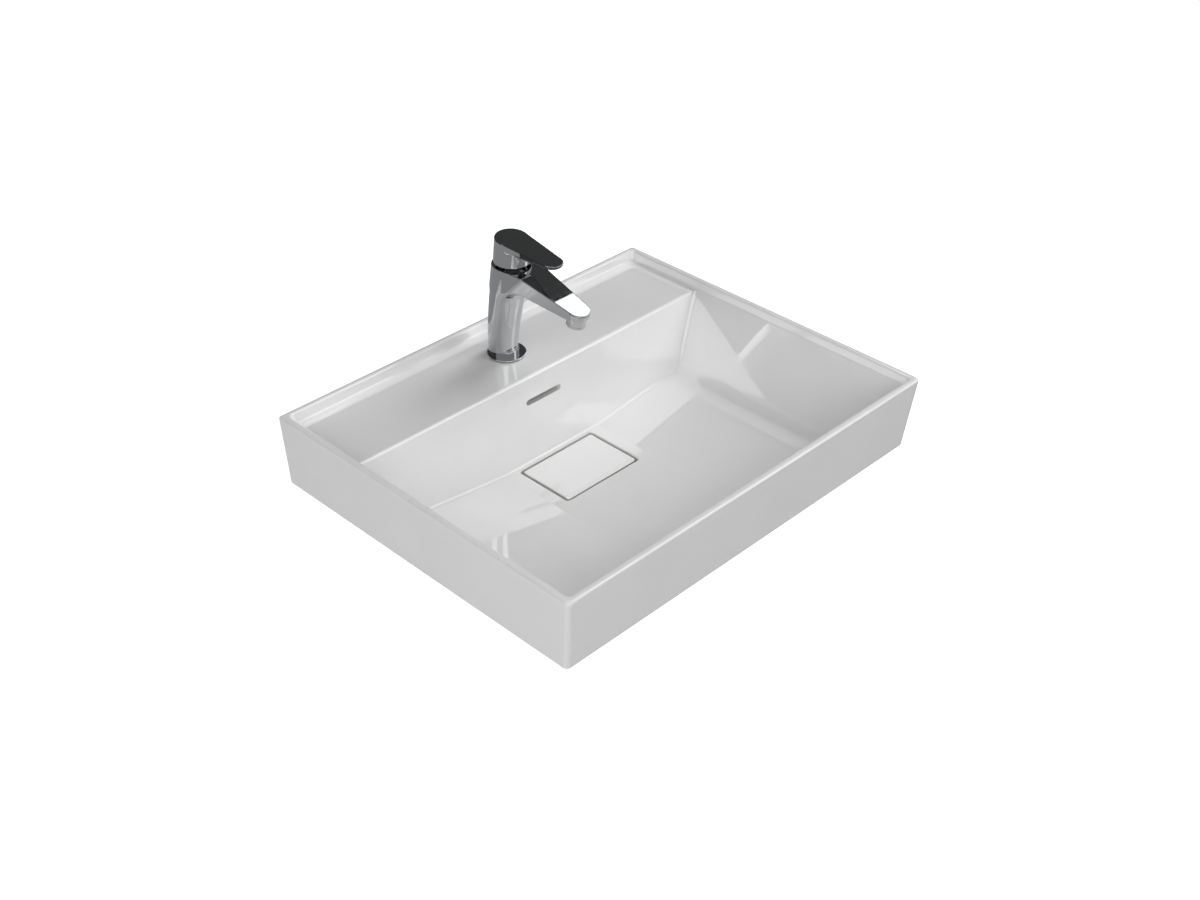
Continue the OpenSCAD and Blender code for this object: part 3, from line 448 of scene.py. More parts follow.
def hull(name, points_mm):
    """The smooth skin stretched round a cloud of points."""
    made = new_object(name, points_mm, [])
    body = bmesh.new()
    body.from_mesh(made.data)
    found = bmesh.ops.convex_hull(body, input=body.verts)
    inner = found["geom_interior"] + found["geom_unused"]
    spare = list({v for v in inner if isinstance(v, bmesh.types.BMVert)})
    bmesh.ops.delete(body, geom=spare, context="VERTS")
    body.to_mesh(made.data)
    body.free()
    return outward(made)


def carve(target, steps):
    """Applies unions and cuts in order, each (operation, tool), then removes the tools."""
    for operation, tool in steps:
        change = target.modifiers.new(tool.name, "BOOLEAN")
        change.operation, change.object, change.solver = operation, tool, "EXACT"
    settle(target)
    for _, tool in steps:
        bpy.data.objects.remove(tool)


def settle(target):
    """Turns an object with its modifiers into a plain mesh."""
    bpy.context.view_layer.update()
    shape = target.evaluated_get(bpy.context.evaluated_depsgraph_get())
    mesh = bpy.data.meshes.new_from_object(shape)
    target.modifiers.clear()
    target.data = mesh


def soft_shading(target, sharp_deg):
    """Smooth shading in which the large flat faces stay flat and the rounded edges blend."""
    mesh = target.data
    mesh.shade_smooth()
    mesh.set_sharp_from_angle(angle=math.radians(sharp_deg))
    weigh = target.modifiers.new("weigh", "WEIGHTED_NORMAL")
    weigh.keep_sharp, weigh.weight = True, 80
    settle(target)


print("solid helpers are ready")

# %% Outside of the skirt, and the space inside the rim
def quarter_round(radius):
    """Steps of a quarter round, as (inset, rise)."""
    turns = [math.pi / 2 * i / ROUND_STEPS for i in range(ROUND_STEPS + 1)]
    return [(radius * (1 - math.cos(a)), radius * math.sin(a)) for a in turns]


def foot_round(radius):
    """The same for a quarter round at the foot of a face."""
    return [(radius - math.sqrt(max(radius ** 2 - (radius - rise) ** 2, 0)), rise)
            for _, rise in quarter_round(radius)]


def skirt_solid():
    """The whole outside, rounded at the foot and at the rim."""
    steps = [(inset, SKIRT_Z + rise) for inset, rise in foot_round(FOOT_EDGE_R)]
    steps += [(inset, RIM_Z - RIM_OUT_R + rise) for inset, rise in quarter_round(RIM_OUT_R)]
    return loft("basin_glazed", [rounded_ring(skirt_outline(z, inset), WALL_CORNER_R,
                                              FRONT_CORNER_R, z) for inset, z in steps])


def tray_ring(level, inset, z):
    """Outline of the rim's inner face at one level, drawn at height z."""
    return rounded_ring(tray_outline(level, inset), INNER_CORNER_R, INNER_CORNER_R, z)


def tray_solid():
    """The space inside the rim, above the deck and the bowl."""
    steps = [(inset, DECK_Z + rise) for inset, rise in foot_round(DECK_FOOT_R)]
    steps += [(-outset, RIM_Z - EDGE_R + rise) for outset, rise in quarter_round(EDGE_R)]
    rings = [tray_ring(z, inset, z) for inset, z in steps]
    return loft("tray_cut", rings + [tray_ring(RIM_Z, -EDGE_R, RIM_Z + OVER)])


def under_solid():
    """The hollow inside the skirt, below the deck."""
    return loft("under_cut", [rounded_ring(skirt_outline(z, WALL_T), UNDER_CORNER_R,
                                           UNDER_CORNER_R, z)
                              for z in (SKIRT_Z - OVER, DECK_UNDER_Z)])


print("skirt, tray and underside are drawn")

# %% The bowl, as the skin round a row of balls
BOWL_TOP_Z = DECK_Z + DECK_FOOT_R
WING_A = math.atan(WING_RISE)
CORNER_Z = FLOOR_Z + WING_RISE * (BOWL_FOOT_X - FLAT_HALF_W)
SIDE_A = math.atan((tray_outline(BOWL_TOP_Z)[0] - BOWL_FOOT_X) / (BOWL_TOP_Z - CORNER_Z))


def bowl_balls():
    """Centres, in X and Z, of the balls that the bowl floor and its side fillet roll round."""
    half_turn = (math.pi / 2 + SIDE_A + WING_A) / 2
    reach = SIDE_FILLET_R / math.sin(half_turn)
    heading = math.pi + WING_A - half_turn
    middle = (BOWL_FOOT_X + reach * math.cos(heading), CORNER_Z + reach * math.sin(heading))
    balls = [(FLAT_HALF_W, FLOOR_Z + BOWL_FILLET_R)]
    r = SIDE_FILLET_R - BOWL_FILLET_R
    for i in range(FILLET_STEPS + 1):
        a = -math.pi / 2 + WING_A + (math.pi / 2 - WING_A - SIDE_A) * i / FILLET_STEPS
        balls.append((middle[0] + r * math.cos(a), middle[1] + r * math.sin(a)))
    return balls


def ball_part(centre, radius, side, end, steps=10):
    """Points on the eighth of a ball that faces sideways, endways and down."""
    points = []
    for i in range(steps + 1):
        down = math.pi / 2 * i / steps
        for j in range(steps + 1):
            round_ = math.pi / 2 * j / steps
            points.append((centre[0] + side * radius * math.cos(down) * math.cos(round_),
                           centre[1] + end * radius * math.cos(down) * math.sin(round_),
                           centre[2] - radius * math.sin(down)))
    return points


def bowl_solid(name, grown):
    """The bowl, or its outside when grown by the wall."""
    rear_in = BOWL_FILLET_R * math.sqrt(1 + REAR_LEAN ** 2)
    front_in = BOWL_FILLET_R * math.sqrt(1 + FRONT_LEAN ** 2)
    half, _, front = tray_outline(BOWL_TOP_Z)
    ball_r, corner_r = BOWL_FILLET_R + grown, INNER_CORNER_R + grown
    points = []
    for side in (-1, 1):
        for x, z in bowl_balls():
            points += ball_part((side * x, rear_y(z) - rear_in, z), ball_r, side, 1)
            points += ball_part((side * x, front_y(z) + front_in, z), ball_r, side, -1)
        for y, end in ((rear_y(BOWL_TOP_Z) - INNER_CORNER_R, 1), (front + INNER_CORNER_R, -1)):
            for j in range(CORNER_STEPS + 1):
                a = math.pi / 2 * j / CORNER_STEPS
                points.append((side * (half - INNER_CORNER_R + corner_r * math.cos(a)),
                               y + end * corner_r * math.sin(a), BOWL_TOP_Z))
    return hull(name, points)


print("the bowl rolls round", 4 * len(bowl_balls()), "balls")

# %% Sump, waste hole, overflow, tap hole and wall fixings
DUCT_GAP, DUCT_W, DUCT_WALL, DUCT_LEG_H, DUCT_HEAD, DUCT_LEG_UP = 14.0, 48.0, 6.0, 12.0, 6.0, 9.0
SLOT_W, SLOT_H, SLOT_Z = 58.5, 7.0, 12.5
SUMP_EDGE_R = 2.0
FIX_X, FIX_HOLE_R, FIX_PAD_R, FIX_PAD_T = 140.0, 7.0, 22.0, 6.0
OUTLET_WALL = 13.0


def plate(name, half_w, depth, radius, low, high):
    """Rounded rectangle plate round the waste axis."""
    outline = (half_w, WASTE_Y + depth / 2, WASTE_Y - depth / 2)
    return loft(name, [rounded_ring(outline, radius, radius, z) for z in (low, high)])


def sump_cut():
    """The sump, whose top edge opens out in a soft round."""
    steps = [(0.0, SUMP_Z)]
    steps += [(out, FLOOR_Z - SUMP_EDGE_R + rise) for out, rise in quarter_round(SUMP_EDGE_R)]
    steps.append((SUMP_EDGE_R, FLOOR_Z + OVER))
    rings = []
    for out, z in steps:
        outline = (SUMP_W / 2 + out, WASTE_Y + SUMP_D / 2 + out, WASTE_Y - SUMP_D / 2 - out)
        rings.append(rounded_ring(outline, SUMP_R + out, SUMP_R + out, z))
    return loft("sump_cut", rings)


def duct_profile(grown):
    """Path of the overflow behind the bowl and down into the waste, in Y and Z."""
    back_t = WALL_T * math.sqrt(1 + REAR_LEAN ** 2)
    top = SLOT_Z + DUCT_HEAD + grown
    low = OUTLET_Z + DUCT_LEG_UP - grown
    leg_top = OUTLET_Z + DUCT_LEG_UP + DUCT_LEG_H + grown
    head, foot = rear_y(top) + back_t, rear_y(FLOOR_Z) + back_t
    near, far = foot - OVER - grown, foot + DUCT_GAP + grown
    return [(head - OVER, top), (near, FLOOR_Z), (near, leg_top), (WASTE_Y, leg_top),
            (WASTE_Y, low), (far, low), (far, FLOOR_Z), (head + DUCT_GAP + grown, top)]


def deck_edge_profile():
    """What is taken off the front edge of the deck to round it, in Y and Z."""
    lean = math.atan(REAR_LEAN)
    turn = math.pi / 2 - lean
    reach = DECK_EDGE_R * math.tan(turn / 2)
    y, z = -DECK_D + reach, DECK_Z - DECK_EDGE_R
    arc = []
    for i in range(CORNER_STEPS + 1):
        a = math.pi / 2 + turn * i / CORNER_STEPS
        arc.append((y + DECK_EDGE_R * math.cos(a), z + DECK_EDGE_R * math.sin(a)))
    foot = (-DECK_D - reach * math.sin(lean) - OVER, DECK_Z - reach * math.cos(lean))
    return arc + [foot, (-DECK_D - OVER, DECK_Z + OVER), (y, DECK_Z + OVER)]


def slot_solid():
    """Slot with round ends through the rear wall."""
    round_, flat = SLOT_H / 2, (SLOT_W - SLOT_H) / 2
    begin, steps = rear_y(SLOT_Z) - 3 * OVER, 2 * CORNER_STEPS
    rings = []
    for y in (begin, begin + WALL_T + DUCT_GAP):
        ring = []
        for side, start in ((1, -90), (-1, 90)):
            for i in range(steps + 1):
                a = math.radians(start + 180 * i / steps)
                ring.append((side * flat + round_ * math.cos(a), y, SLOT_Z + round_ * math.sin(a)))
        rings.append(ring)
    return loft("slot_cut", rings)


print("ducts and holes are drawn")

# %% Put the basin together
def build_basin():
    """The casting: the skirt hollowed out, what stands inside it, then every cut."""
    basin = skirt_solid()
    steps = [("DIFFERENCE", under_solid())]
    pad_front = -WALL_T - FIX_PAD_T
    steps += [("UNION", tool) for tool in [
        bowl_solid("bowl_outside", WALL_T),
        plate("sump_outside", SUMP_W / 2 + WALL_T, SUMP_D + 2 * WALL_T, SUMP_R + WALL_T,
              SUMP_Z - WALL_T, FLOOR_Z),
        turned("outlet_boss", (0, WASTE_Y), "Z", WASTE_HOLE_R + OUTLET_WALL, OUTLET_Z,
               OUTLET_Z + OUTLET_T),
        across("duct_outside", DUCT_W + 2 * DUCT_WALL, duct_profile(DUCT_WALL)),
        *(turned("fixing_pad", (side * FIX_X, 0), "Y", FIX_PAD_R, pad_front, -WALL_T / 2)
          for side in (-1, 1))]]
    steps += [("DIFFERENCE", tool) for tool in [
        tray_solid(), bowl_solid("bowl_cut", 0.0),
        across("deck_edge_cut", 2 * (tray_outline(DECK_Z)[0] - DECK_FOOT_R), deck_edge_profile()),
        sump_cut(),
        turned("waste_cut", (0, WASTE_Y), "Z", WASTE_HOLE_R, OUTLET_Z - OVER,
               OUTLET_Z + OUTLET_T + OVER),
        across("duct_cut", DUCT_W, duct_profile(0.0)), slot_solid(),
        turned("tap_cut", (0, TAP_Y), "Z", TAP_HOLE_R, DECK_UNDER_Z - OVER, DECK_Z + OVER),
        *(turned("fixing_cut", (side * FIX_X, 0), "Y", FIX_HOLE_R, pad_front - OVER, OVER)
          for side in (-1, 1))]]
    carve(basin, steps)
    return basin


basin = build_basin()
print("basin faces:", len(basin.data.polygons))

# %% Glaze on the faces that are sprayed, clay on those that are not
# A normal's part above which a face looks that way, and how near counts as on a plane, in mm
LOOKS_THAT_WAY, LOOKS_DOWN, ON_PLANE = 0.9, 0.35, 0.5
SHARP_CERAMIC = 32.0


def inside_bowl(x, y, z, up):
    """Whether a low face belongs to the inside of the bowl."""
    return (abs(x) < tray_outline(DECK_Z)[0] - 3 and front_y(z) - 0.6 < y < rear_y(z) + 0.6
            and up > -0.05)


def basin_slot(x, y, z, normal):
    """Material slot of a face, from its middle in mm and its normal."""
    against_wall = normal.y > LOOKS_THAT_WAY and y > -ON_PLANE
    foot = normal.z < -LOOKS_THAT_WAY and abs(z - SKIRT_Z) < ON_PLANE
    half, _, front = skirt_outline(z, WALL_T / 2)
    inside_skirt = abs(x) < half and front < y < -WALL_T / 2
    below = z < DECK_UNDER_Z + ON_PLANE and inside_skirt and normal.z < LOOKS_DOWN
    in_duct = (abs(x) < DUCT_W / 2 + ON_PLANE and z < SLOT_Z + DUCT_HEAD + ON_PLANE
               and rear_y(z) + 2 < y < rear_y(z) + 1.5 * WALL_T + DUCT_GAP)
    in_sump = (z < FLOOR_Z - 0.2 and abs(x) < SUMP_W / 2 + SUMP_EDGE_R
               and abs(y - WASTE_Y) < SUMP_D / 2 + SUMP_EDGE_R)
    if against_wall or foot:
        return 2
    # Faces in the duct and the sump get the glaze painted greyer as painted shade
    if in_duct or in_sump:
        return 3
    return 1 if below and not inside_bowl(x, y, z, normal.z) else 0


def dress_basin():
    """Slot 0 is the glaze, 1 the thin glaze underneath, 2 the bare clay, 3 the glaze painted greyer
    in hollows as painted shade.
    """
    for finish in (white_glaze, thin_glaze, bare_clay, painted_shade_glaze):
        basin.data.materials.append(finish)
    for face in basin.data.polygons:
        face.material_index = basin_slot(*(face.center / MM), face.normal)
    soft_shading(basin, SHARP_CERAMIC)
    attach(basin, "basin_and_tap")
    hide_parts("basin")


dress_basin()
print("basin materials:", [m.name for m in basin.data.materials])

# %% [markdown]
# ## The tap body and the lever
# Both are gravity castings in brass: every form is a plain cone, slot or plane, but they flow
# into each other with soft fillets and have only slightly broken edges, because they are ground
# and polished by hand before plating. Chrome shows any facet, so neither the CAD solid nor
# subdivision is smooth enough. Here the form is written as a rule that gives the distance from
# any point to the skin, with fillets as part of the rule. The skin is found on a fine grid, each
# point is moved exactly onto it, and the rule's own slope gives perfect normals.

# %% A skin from a rule
SLOPE_STEP = 0.01


def slope_of(rule, p):
    """How the rule changes along X, Y and Z at each point."""
    parts = []
    for step in np.eye(3) * SLOPE_STEP:
        parts.append((rule(*(p + step).T) - rule(*(p - step).T)) / (2 * SLOPE_STEP))
    return np.stack(parts, 1)


def onto_skin(rule, p, farthest):
    """Moves each point along the slope until the rule is zero there."""
    value = rule(*p.T)
    slope = slope_of(rule, p)
    move = -(value / np.maximum((slope ** 2).sum(1), 1e-4))[:, None] * slope
    length = np.linalg.norm(move, axis=1, keepdims=True)
    return p + move * np.minimum(1.0, farthest / np.maximum(length, 1e-9))


def skin_of_rule(rule, low, high, step, rounds=5, last_rounds=3):
    """Points, quads and outward directions of the skin where the rule is zero, in mm.

    The points are evened out in rounds, then only moved onto the skin in the last rounds.
    """
    axes = [np.arange(a, b + step, step) for a, b in zip(low, high)]
    inside = rule(*np.meshgrid(*axes, indexing="ij")) < 0
    cells = tuple(n - 1 for n in inside.shape)
    filled = np.zeros(cells, np.int8)
    for i in (0, 1):
        for j in (0, 1):
            for k in (0, 1):
                filled += inside[i:i + cells[0], j:j + cells[1], k:k + cells[2]]
    crossed = (filled > 0) & (filled < 8)
    index = np.full(cells, -1)
    index[crossed] = np.arange(crossed.sum())
    points = np.array(low) + (np.argwhere(crossed) + 0.5) * step
    quads = []
    for axis in range(3):
        turned_ = np.moveaxis(inside, axis, 0)
        numbers = np.moveaxis(index, axis, 0)
        changes = np.argwhere(turned_[1:] != turned_[:-1])
        changes = changes[(changes[:, 1:] > 0).all(1) & (changes[:, 1] < numbers.shape[1])
                          & (changes[:, 2] < numbers.shape[2])]
        a, u, v = changes.T
        quad = np.stack([numbers[a, u - 1, v - 1], numbers[a, u, v - 1],
                         numbers[a, u, v], numbers[a, u - 1, v]], 1)
        leaving = turned_[a, u, v] if axis != 1 else ~turned_[a, u, v]
        quad[~leaving] = quad[~leaving][:, ::-1]
        quads.append(quad)
    quads = np.concatenate(quads)
    quads = quads[(quads >= 0).all(1)]
    edges = np.concatenate([quads[:, [i, (i + 1) % 4]] for i in range(4)])
    count = np.bincount(edges.ravel(), minlength=len(points)).astype(float)
    for _ in range(rounds):
        points = onto_skin(rule, points, step)
        middle = np.zeros_like(points)
        for axis in range(3):
            middle[:, axis] = (np.bincount(edges[:, 0], points[edges[:, 1], axis], len(points))
                               + np.bincount(edges[:, 1], points[edges[:, 0], axis], len(points)))
        points = 0.5 * points + 0.5 * middle / np.maximum(count, 1)[:, None]
    for _ in range(last_rounds):
        points = onto_skin(rule, points, step)
    slope = slope_of(rule, points)
    return points, quads, slope / np.maximum(np.linalg.norm(slope, axis=1, keepdims=True), 1e-9)


def skin_object(name, rule, low, high, step, place):
    """Mesh object of a rule's skin, moved to its place in mm, with the rule's own normals."""
    points, quads, out = skin_of_rule(rule, low, high, step)
    made = new_object(name, points + np.array(place), quads.tolist())
    made.data.shade_smooth()
    made.data.normals_split_custom_set_from_vertices(out.tolist())
    return made


# Two forms a and b are each below zero inside
def round_join(a, b, r):
    """Both forms, with a round fillet of radius r between them."""
    return np.maximum(r, np.minimum(a, b)) - np.hypot(np.maximum(r - a, 0), np.maximum(r - b, 0))


def round_edge(a, b, r):
    """What is inside both forms, with its edge rounded to radius r."""
    return np.minimum(-r, np.maximum(a, b)) + np.hypot(np.maximum(r + a, 0), np.maximum(r + b, 0))


def soft_join(a, b, k):
    """Both forms, blended over a band of about k."""
    share = np.clip(0.5 + 0.5 * (b - a) / k, 0, 1)
    return b + (a - b) * share - k * share * (1 - share)


def drawn_slot(side, along, r1, r2, length):
    """Flat outline of two circles, r1 at 0 and r2 at length, joined by their tangents."""
    lean = (r1 - r2) / length
    rise = np.sqrt(1 - lean ** 2)
    place = -lean * side + rise * along
    end = np.hypot(side, along) - r1
    far = np.hypot(side, along - length) - r2
    flank = rise * side + lean * along - r1
    return np.where(place < 0, end, np.where(place > rise * length, far, flank))


print("the skin of a rule can be found")

# %% The rule of the tap body
SHOULDER_Z, COLUMN_Z, COLUMN_REST_Z = 133.5, 9.0, 3.2
COLUMN_FOOT_R, COLUMN_TOP_R, COLUMN_FOOT_Y, COLUMN_LEAN, LEAN_POWER = 18.4, 24.2, 6.0, 21.5, 1.5
AXIS_Y = COLUMN_FOOT_Y - COLUMN_LEAN
REACH, NOSE_R, ARCH_R = 128.7, 14.3, 26.0
SPOUT_TOP_Z, SPOUT_FALL, SPOUT_UNDER_Z, UNDER_FALL = 115.4, 0.23, 102.5, 0.08
NOSE_DROP, NOSE_FOOT_R, AERATOR_BORE_R, AERATOR_DEPTH = 19.0, 12.6, 11.05, 12.0
SPIGOT_R, SPIGOT_Z = 16.0, -3.0
INLET_X, INLET_Y, INLET_R, STUD_Y, STUD_HOLE_R, INLET_DEPTH = 7.5, 6.0, 4.6, -9.5, 4.05, 11.0
CARTRIDGE_BORE_R, SEAT_Z, NUT_BORE_R, NUT_SEAT_Z = 12.6, 104.0, 14.3, 123.0
TILT = math.atan(SPOUT_FALL)
# The spout's flanks leave the column in a fillet that grows from the axis to the front
FLANK_INSET, FLANK_FILLET, FLANK_BEHIND, FLANK_LENGTH = 0.1, 6.0, 5.0, 25.0
# Rounds of the polished edges and fillets between the forms
SPOUT_EDGE, UNDER_EDGE, FOOT_EDGE, SHOULDER_EDGE, NOZZLE_EDGE = 0.9, 2.6, 0.5, 0.8, 0.9
SPOUT_BLEND, NOZZLE_BLEND, AERATOR_EDGE, BORE_EDGE = 1.2, 1.6, 0.4, 0.3
NOZZLE_TOP = 2.0


def bore(body, from_axis, radius, from_end, edge):
    """The body with a round hole that ends where from_end is zero, its edge rounded."""
    return round_edge(body, -np.maximum(from_axis - radius, from_end), edge)


def tap_rule(x, y, z):
    """Distance from the skin of the tap body, measured from the tap hole on the deck."""
    side = np.abs(x)
    t = np.clip((z - COLUMN_Z) / (SHOULDER_Z - COLUMN_Z), 0, 1.2)
    column_r = COLUMN_FOOT_R + (COLUMN_TOP_R - COLUMN_FOOT_R) * t
    column = np.hypot(x, y - COLUMN_FOOT_Y + COLUMN_LEAN * t ** LEAN_POWER) - column_r
    along = (y + REACH) * math.cos(TILT) + (z - SPOUT_TOP_Z) * math.sin(TILT)
    above = (z - SPOUT_TOP_Z) * math.cos(TILT) - (y + REACH) * math.sin(TILT)
    outline = drawn_slot(side, along, NOSE_R, column_r - FLANK_INSET,
                         (AXIS_Y + REACH) / math.cos(TILT))
    underside = SPOUT_UNDER_Z + UNDER_FALL * (y + REACH) - z
    arch = round_join(underside, column, ARCH_R)
    ahead = np.clip((AXIS_Y + FLANK_BEHIND - y) / FLANK_LENGTH, 0.01, 1.0)
    flank = soft_join(outline, column, FLANK_FILLET * ahead)
    spout = round_edge(round_edge(flank, above, SPOUT_EDGE), arch, UNDER_EDGE)
    standing = round_edge(column, COLUMN_REST_Z - z, FOOT_EDGE)
    body = soft_join(standing, spout, SPOUT_BLEND)
    ring = np.hypot(x, along)
    widening = (NOSE_R - NOSE_FOOT_R) / (NOSE_DROP - NOZZLE_TOP)
    nozzle = ring - NOSE_FOOT_R - widening * (above + NOSE_DROP)
    nozzle = round_edge(nozzle, -NOSE_DROP - above, NOZZLE_EDGE)
    body = soft_join(body, round_edge(nozzle, above + NOZZLE_TOP, FOOT_EDGE), NOZZLE_BLEND)
    body = round_edge(body, z - SHOULDER_Z, SHOULDER_EDGE)
    spigot = np.maximum(np.hypot(x, y) - SPIGOT_R, np.maximum(SPIGOT_Z - z, z - COLUMN_Z - OVER))
    body = np.minimum(body, spigot)
    body = bore(body, ring, AERATOR_BORE_R, above + NOSE_DROP - AERATOR_DEPTH, AERATOR_EDGE)
    axis = np.hypot(x, y - AXIS_Y)
    body = bore(body, axis, CARTRIDGE_BORE_R, SEAT_Z - z, BORE_EDGE)
    body = bore(body, axis, NUT_BORE_R, NUT_SEAT_Z - z, BORE_EDGE)
    holes = np.minimum(np.hypot(side - INLET_X, y - INLET_Y) - INLET_R,
                       np.hypot(x, y - STUD_Y) - STUD_HOLE_R)
    return np.maximum(body, -np.maximum(holes, z - SPIGOT_Z - INLET_DEPTH))


tap_place = (0.0, TAP_Y, DECK_Z)
tap = skin_object("tap_body_cast", tap_rule, (-26, -146, -4.5), (26, 27, 136), 0.8, tap_place)
tap.data.materials.append(chrome)
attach(tap, "basin_and_tap")
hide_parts("tap_body")
print("tap body:", len(tap.data.polygons), "quads")

# %% [markdown]
# ## The base ring
# Between the tap and the deck lies a thin plated flange. It is turned on a lathe, so it is a
# loft through circles with a soft round at its top edge, and the spigot's hole is cut through.

# %% Base ring
RING_R, RING_HOLE_R, RING_FOOT_Z, RING_ROUND, RING_CHAMFER = 25.0, 16.1, 1.0, 1.2, 0.3
SHARP_TURNED = 40.0


def ring_solid():
    """The flange under the column, with the hole that its spigot goes through."""
    steps = [(RING_CHAMFER, RING_FOOT_Z), (0.0, RING_FOOT_Z + RING_CHAMFER)]
    steps += [(inset, COLUMN_REST_Z - RING_ROUND + rise)
              for inset, rise in quarter_round(RING_ROUND)]
    turns = [2 * math.pi * i / CIRCLE_STEPS for i in range(CIRCLE_STEPS)]
    rings = [[((RING_R - inset) * math.cos(a), TAP_Y + (RING_R - inset) * math.sin(a), DECK_Z + z)
              for a in turns] for inset, z in steps]
    flange = loft("base_ring_turned", rings)
    carve(flange, [("DIFFERENCE", turned("ring_hole", (0, TAP_Y), "Z", RING_HOLE_R, DECK_Z,
                                         DECK_Z + COLUMN_REST_Z + OVER))])
    return flange


base_ring = ring_solid()
base_ring.data.materials.append(chrome)
soft_shading(base_ring, SHARP_TURNED)
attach(base_ring, "basin_and_tap")
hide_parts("base_ring")
print("base ring faces:", len(base_ring.data.polygons))

# %% The rule of the handle
CAP_R, CAP_TOP_R, CAP_Z, HANDLE_H = 23.5, 20.8, 137.5, 168.0
LEVER_REACH, LEVER_END_R, LEVER_FALL, LEVER_T, LEVER_ROOT_T = 69.0, 13.5, 0.092, 4.2, 9.5
CAP_WALL, CAP_HOLLOW_Z, BOSS_R, BOSS_Z, SQUARE_W, SQUARE_TOP = 2.6, 156.0, 8.5, 151.0, 8.1, 162.05
GRUB_Z, PIVOT_Z, LIFT_CLEAR = 154.0, 139.0, 0.6
LIFT_ANGLE = math.radians(20.0)
GRUB_HOLE_R, GRUB_HEAD_R = 2.55, 3.6
# Rounds of its edges, and the fillet where the lever leaves the cap
LEVER_EDGE, TOP_EDGE, HOLLOW_EDGE, RELIEF_EDGE, ROOT_BLEND = 3.2, 1.0, 0.25, 0.3, 0.4


def handle_rule(x, y, z):
    """Distance from the skin of the handle, measured from the tap hole on the deck."""
    side, ahead = np.abs(x), AXIS_Y - y
    axis = np.hypot(x, ahead)
    cap_h = HANDLE_H + LEVER_FALL * CAP_R - CAP_Z + OVER
    cap = np.maximum(axis - CAP_R + (CAP_R - CAP_TOP_R) * (z - CAP_Z) / cap_h, CAP_Z - z)
    above = (z - HANDLE_H + LEVER_FALL * ahead) * math.cos(math.atan(LEVER_FALL))
    outline = drawn_slot(side, LEVER_REACH - ahead, LEVER_END_R, CAP_TOP_R, LEVER_REACH)
    tip = LEVER_REACH + LEVER_END_R + OVER
    root_z = HANDLE_H - LEVER_FALL * CAP_R - LEVER_ROOT_T
    tip_z = HANDLE_H - LEVER_FALL * tip - LEVER_T
    under = root_z + (tip_z - root_z) * np.clip((ahead - CAP_R) / (tip - CAP_R), 0, 1) - z
    body = soft_join(cap, round_edge(outline, under, LEVER_EDGE), ROOT_BLEND)
    body = round_edge(body, above, TOP_EDGE)
    body = np.maximum(body, CAP_Z - z)
    hollow = np.maximum(axis - CAP_R + CAP_WALL, z - CAP_HOLLOW_Z)
    boss = np.maximum(axis - BOSS_R, BOSS_Z - z)
    body = round_edge(body, -np.maximum(hollow, -boss), HOLLOW_EDGE)
    socket = np.maximum(np.maximum(side, np.abs(ahead)) - SQUARE_W / 2, z - SQUARE_TOP)
    from_screw = np.hypot(x, z - GRUB_Z)
    grub = np.maximum(from_screw - GRUB_HOLE_R, ahead)
    plug = np.maximum(from_screw - GRUB_HEAD_R, ahead + BOSS_R + OVER)
    relief = (ahead * math.sin(LIFT_ANGLE) + (z - PIVOT_Z) * math.cos(LIFT_ANGLE)
              - SHOULDER_Z - LIFT_CLEAR + PIVOT_Z)
    body = np.maximum(body, -np.minimum(socket, np.minimum(grub, plug)))
    return round_edge(body, -relief, RELIEF_EDGE)


handle = skin_object("handle_cast", handle_rule, (-25.5, -100, 136), (25.5, 10, 172.5), 0.7,
                     tap_place)
handle.data.materials.append(chrome)
handle.data.materials.append(chrome_painted_shade)
# The plate painted darker as shade and dark reflection: under the lever from the cap on, and on its
# sides too further out
LEVER_FROM, SIDES_FROM, UNDER_UP, SIDES_UP = 0.5, 9.0, -0.1, 0.6
for face in handle.data.polygons:
    past_cap = AXIS_Y + TAP_Y - face.center.y / MM - CAP_R
    highest = SIDES_UP if past_cap > SIDES_FROM else UNDER_UP
    face.material_index = int(past_cap > LEVER_FROM and face.normal.z < highest)
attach(handle, "lever")
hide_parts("handle")
print("handle:", len(handle.data.polygons), "quads")

# %% [markdown]
# ## The waste cover
# The loose plate over the waste is glazed like the basin. It is cast flat, so its edges are
# only softened, apart from the slope ground along its front edge, which lets a finger lift it.
# Its hollow underside keeps the thin glaze, its sides have the greyer glaze of the sump, which is
# painted shade that darkens the gap round it, and the boss in the middle takes the plug's peg.

# %% Cover
COVER_GAP, COVER_T, COVER_Z, COVER_SOFT_R = 3.3, 9.0, -72.0, 1.2
COVER_BEVEL, COVER_BEVEL_H, COVER_RIM, COVER_RECESS = 6.0, 1.6, 8.0, 3.0
COVER_BOSS_R, PLUG_TOP, PEG_HOLE_R, PEG_HOLE_H = 13.0, -77.3, 6.1, 3.1
BEVEL_BEND_R, BEVEL_STEPS, PEG_STEPS = 3.0, 6, 64


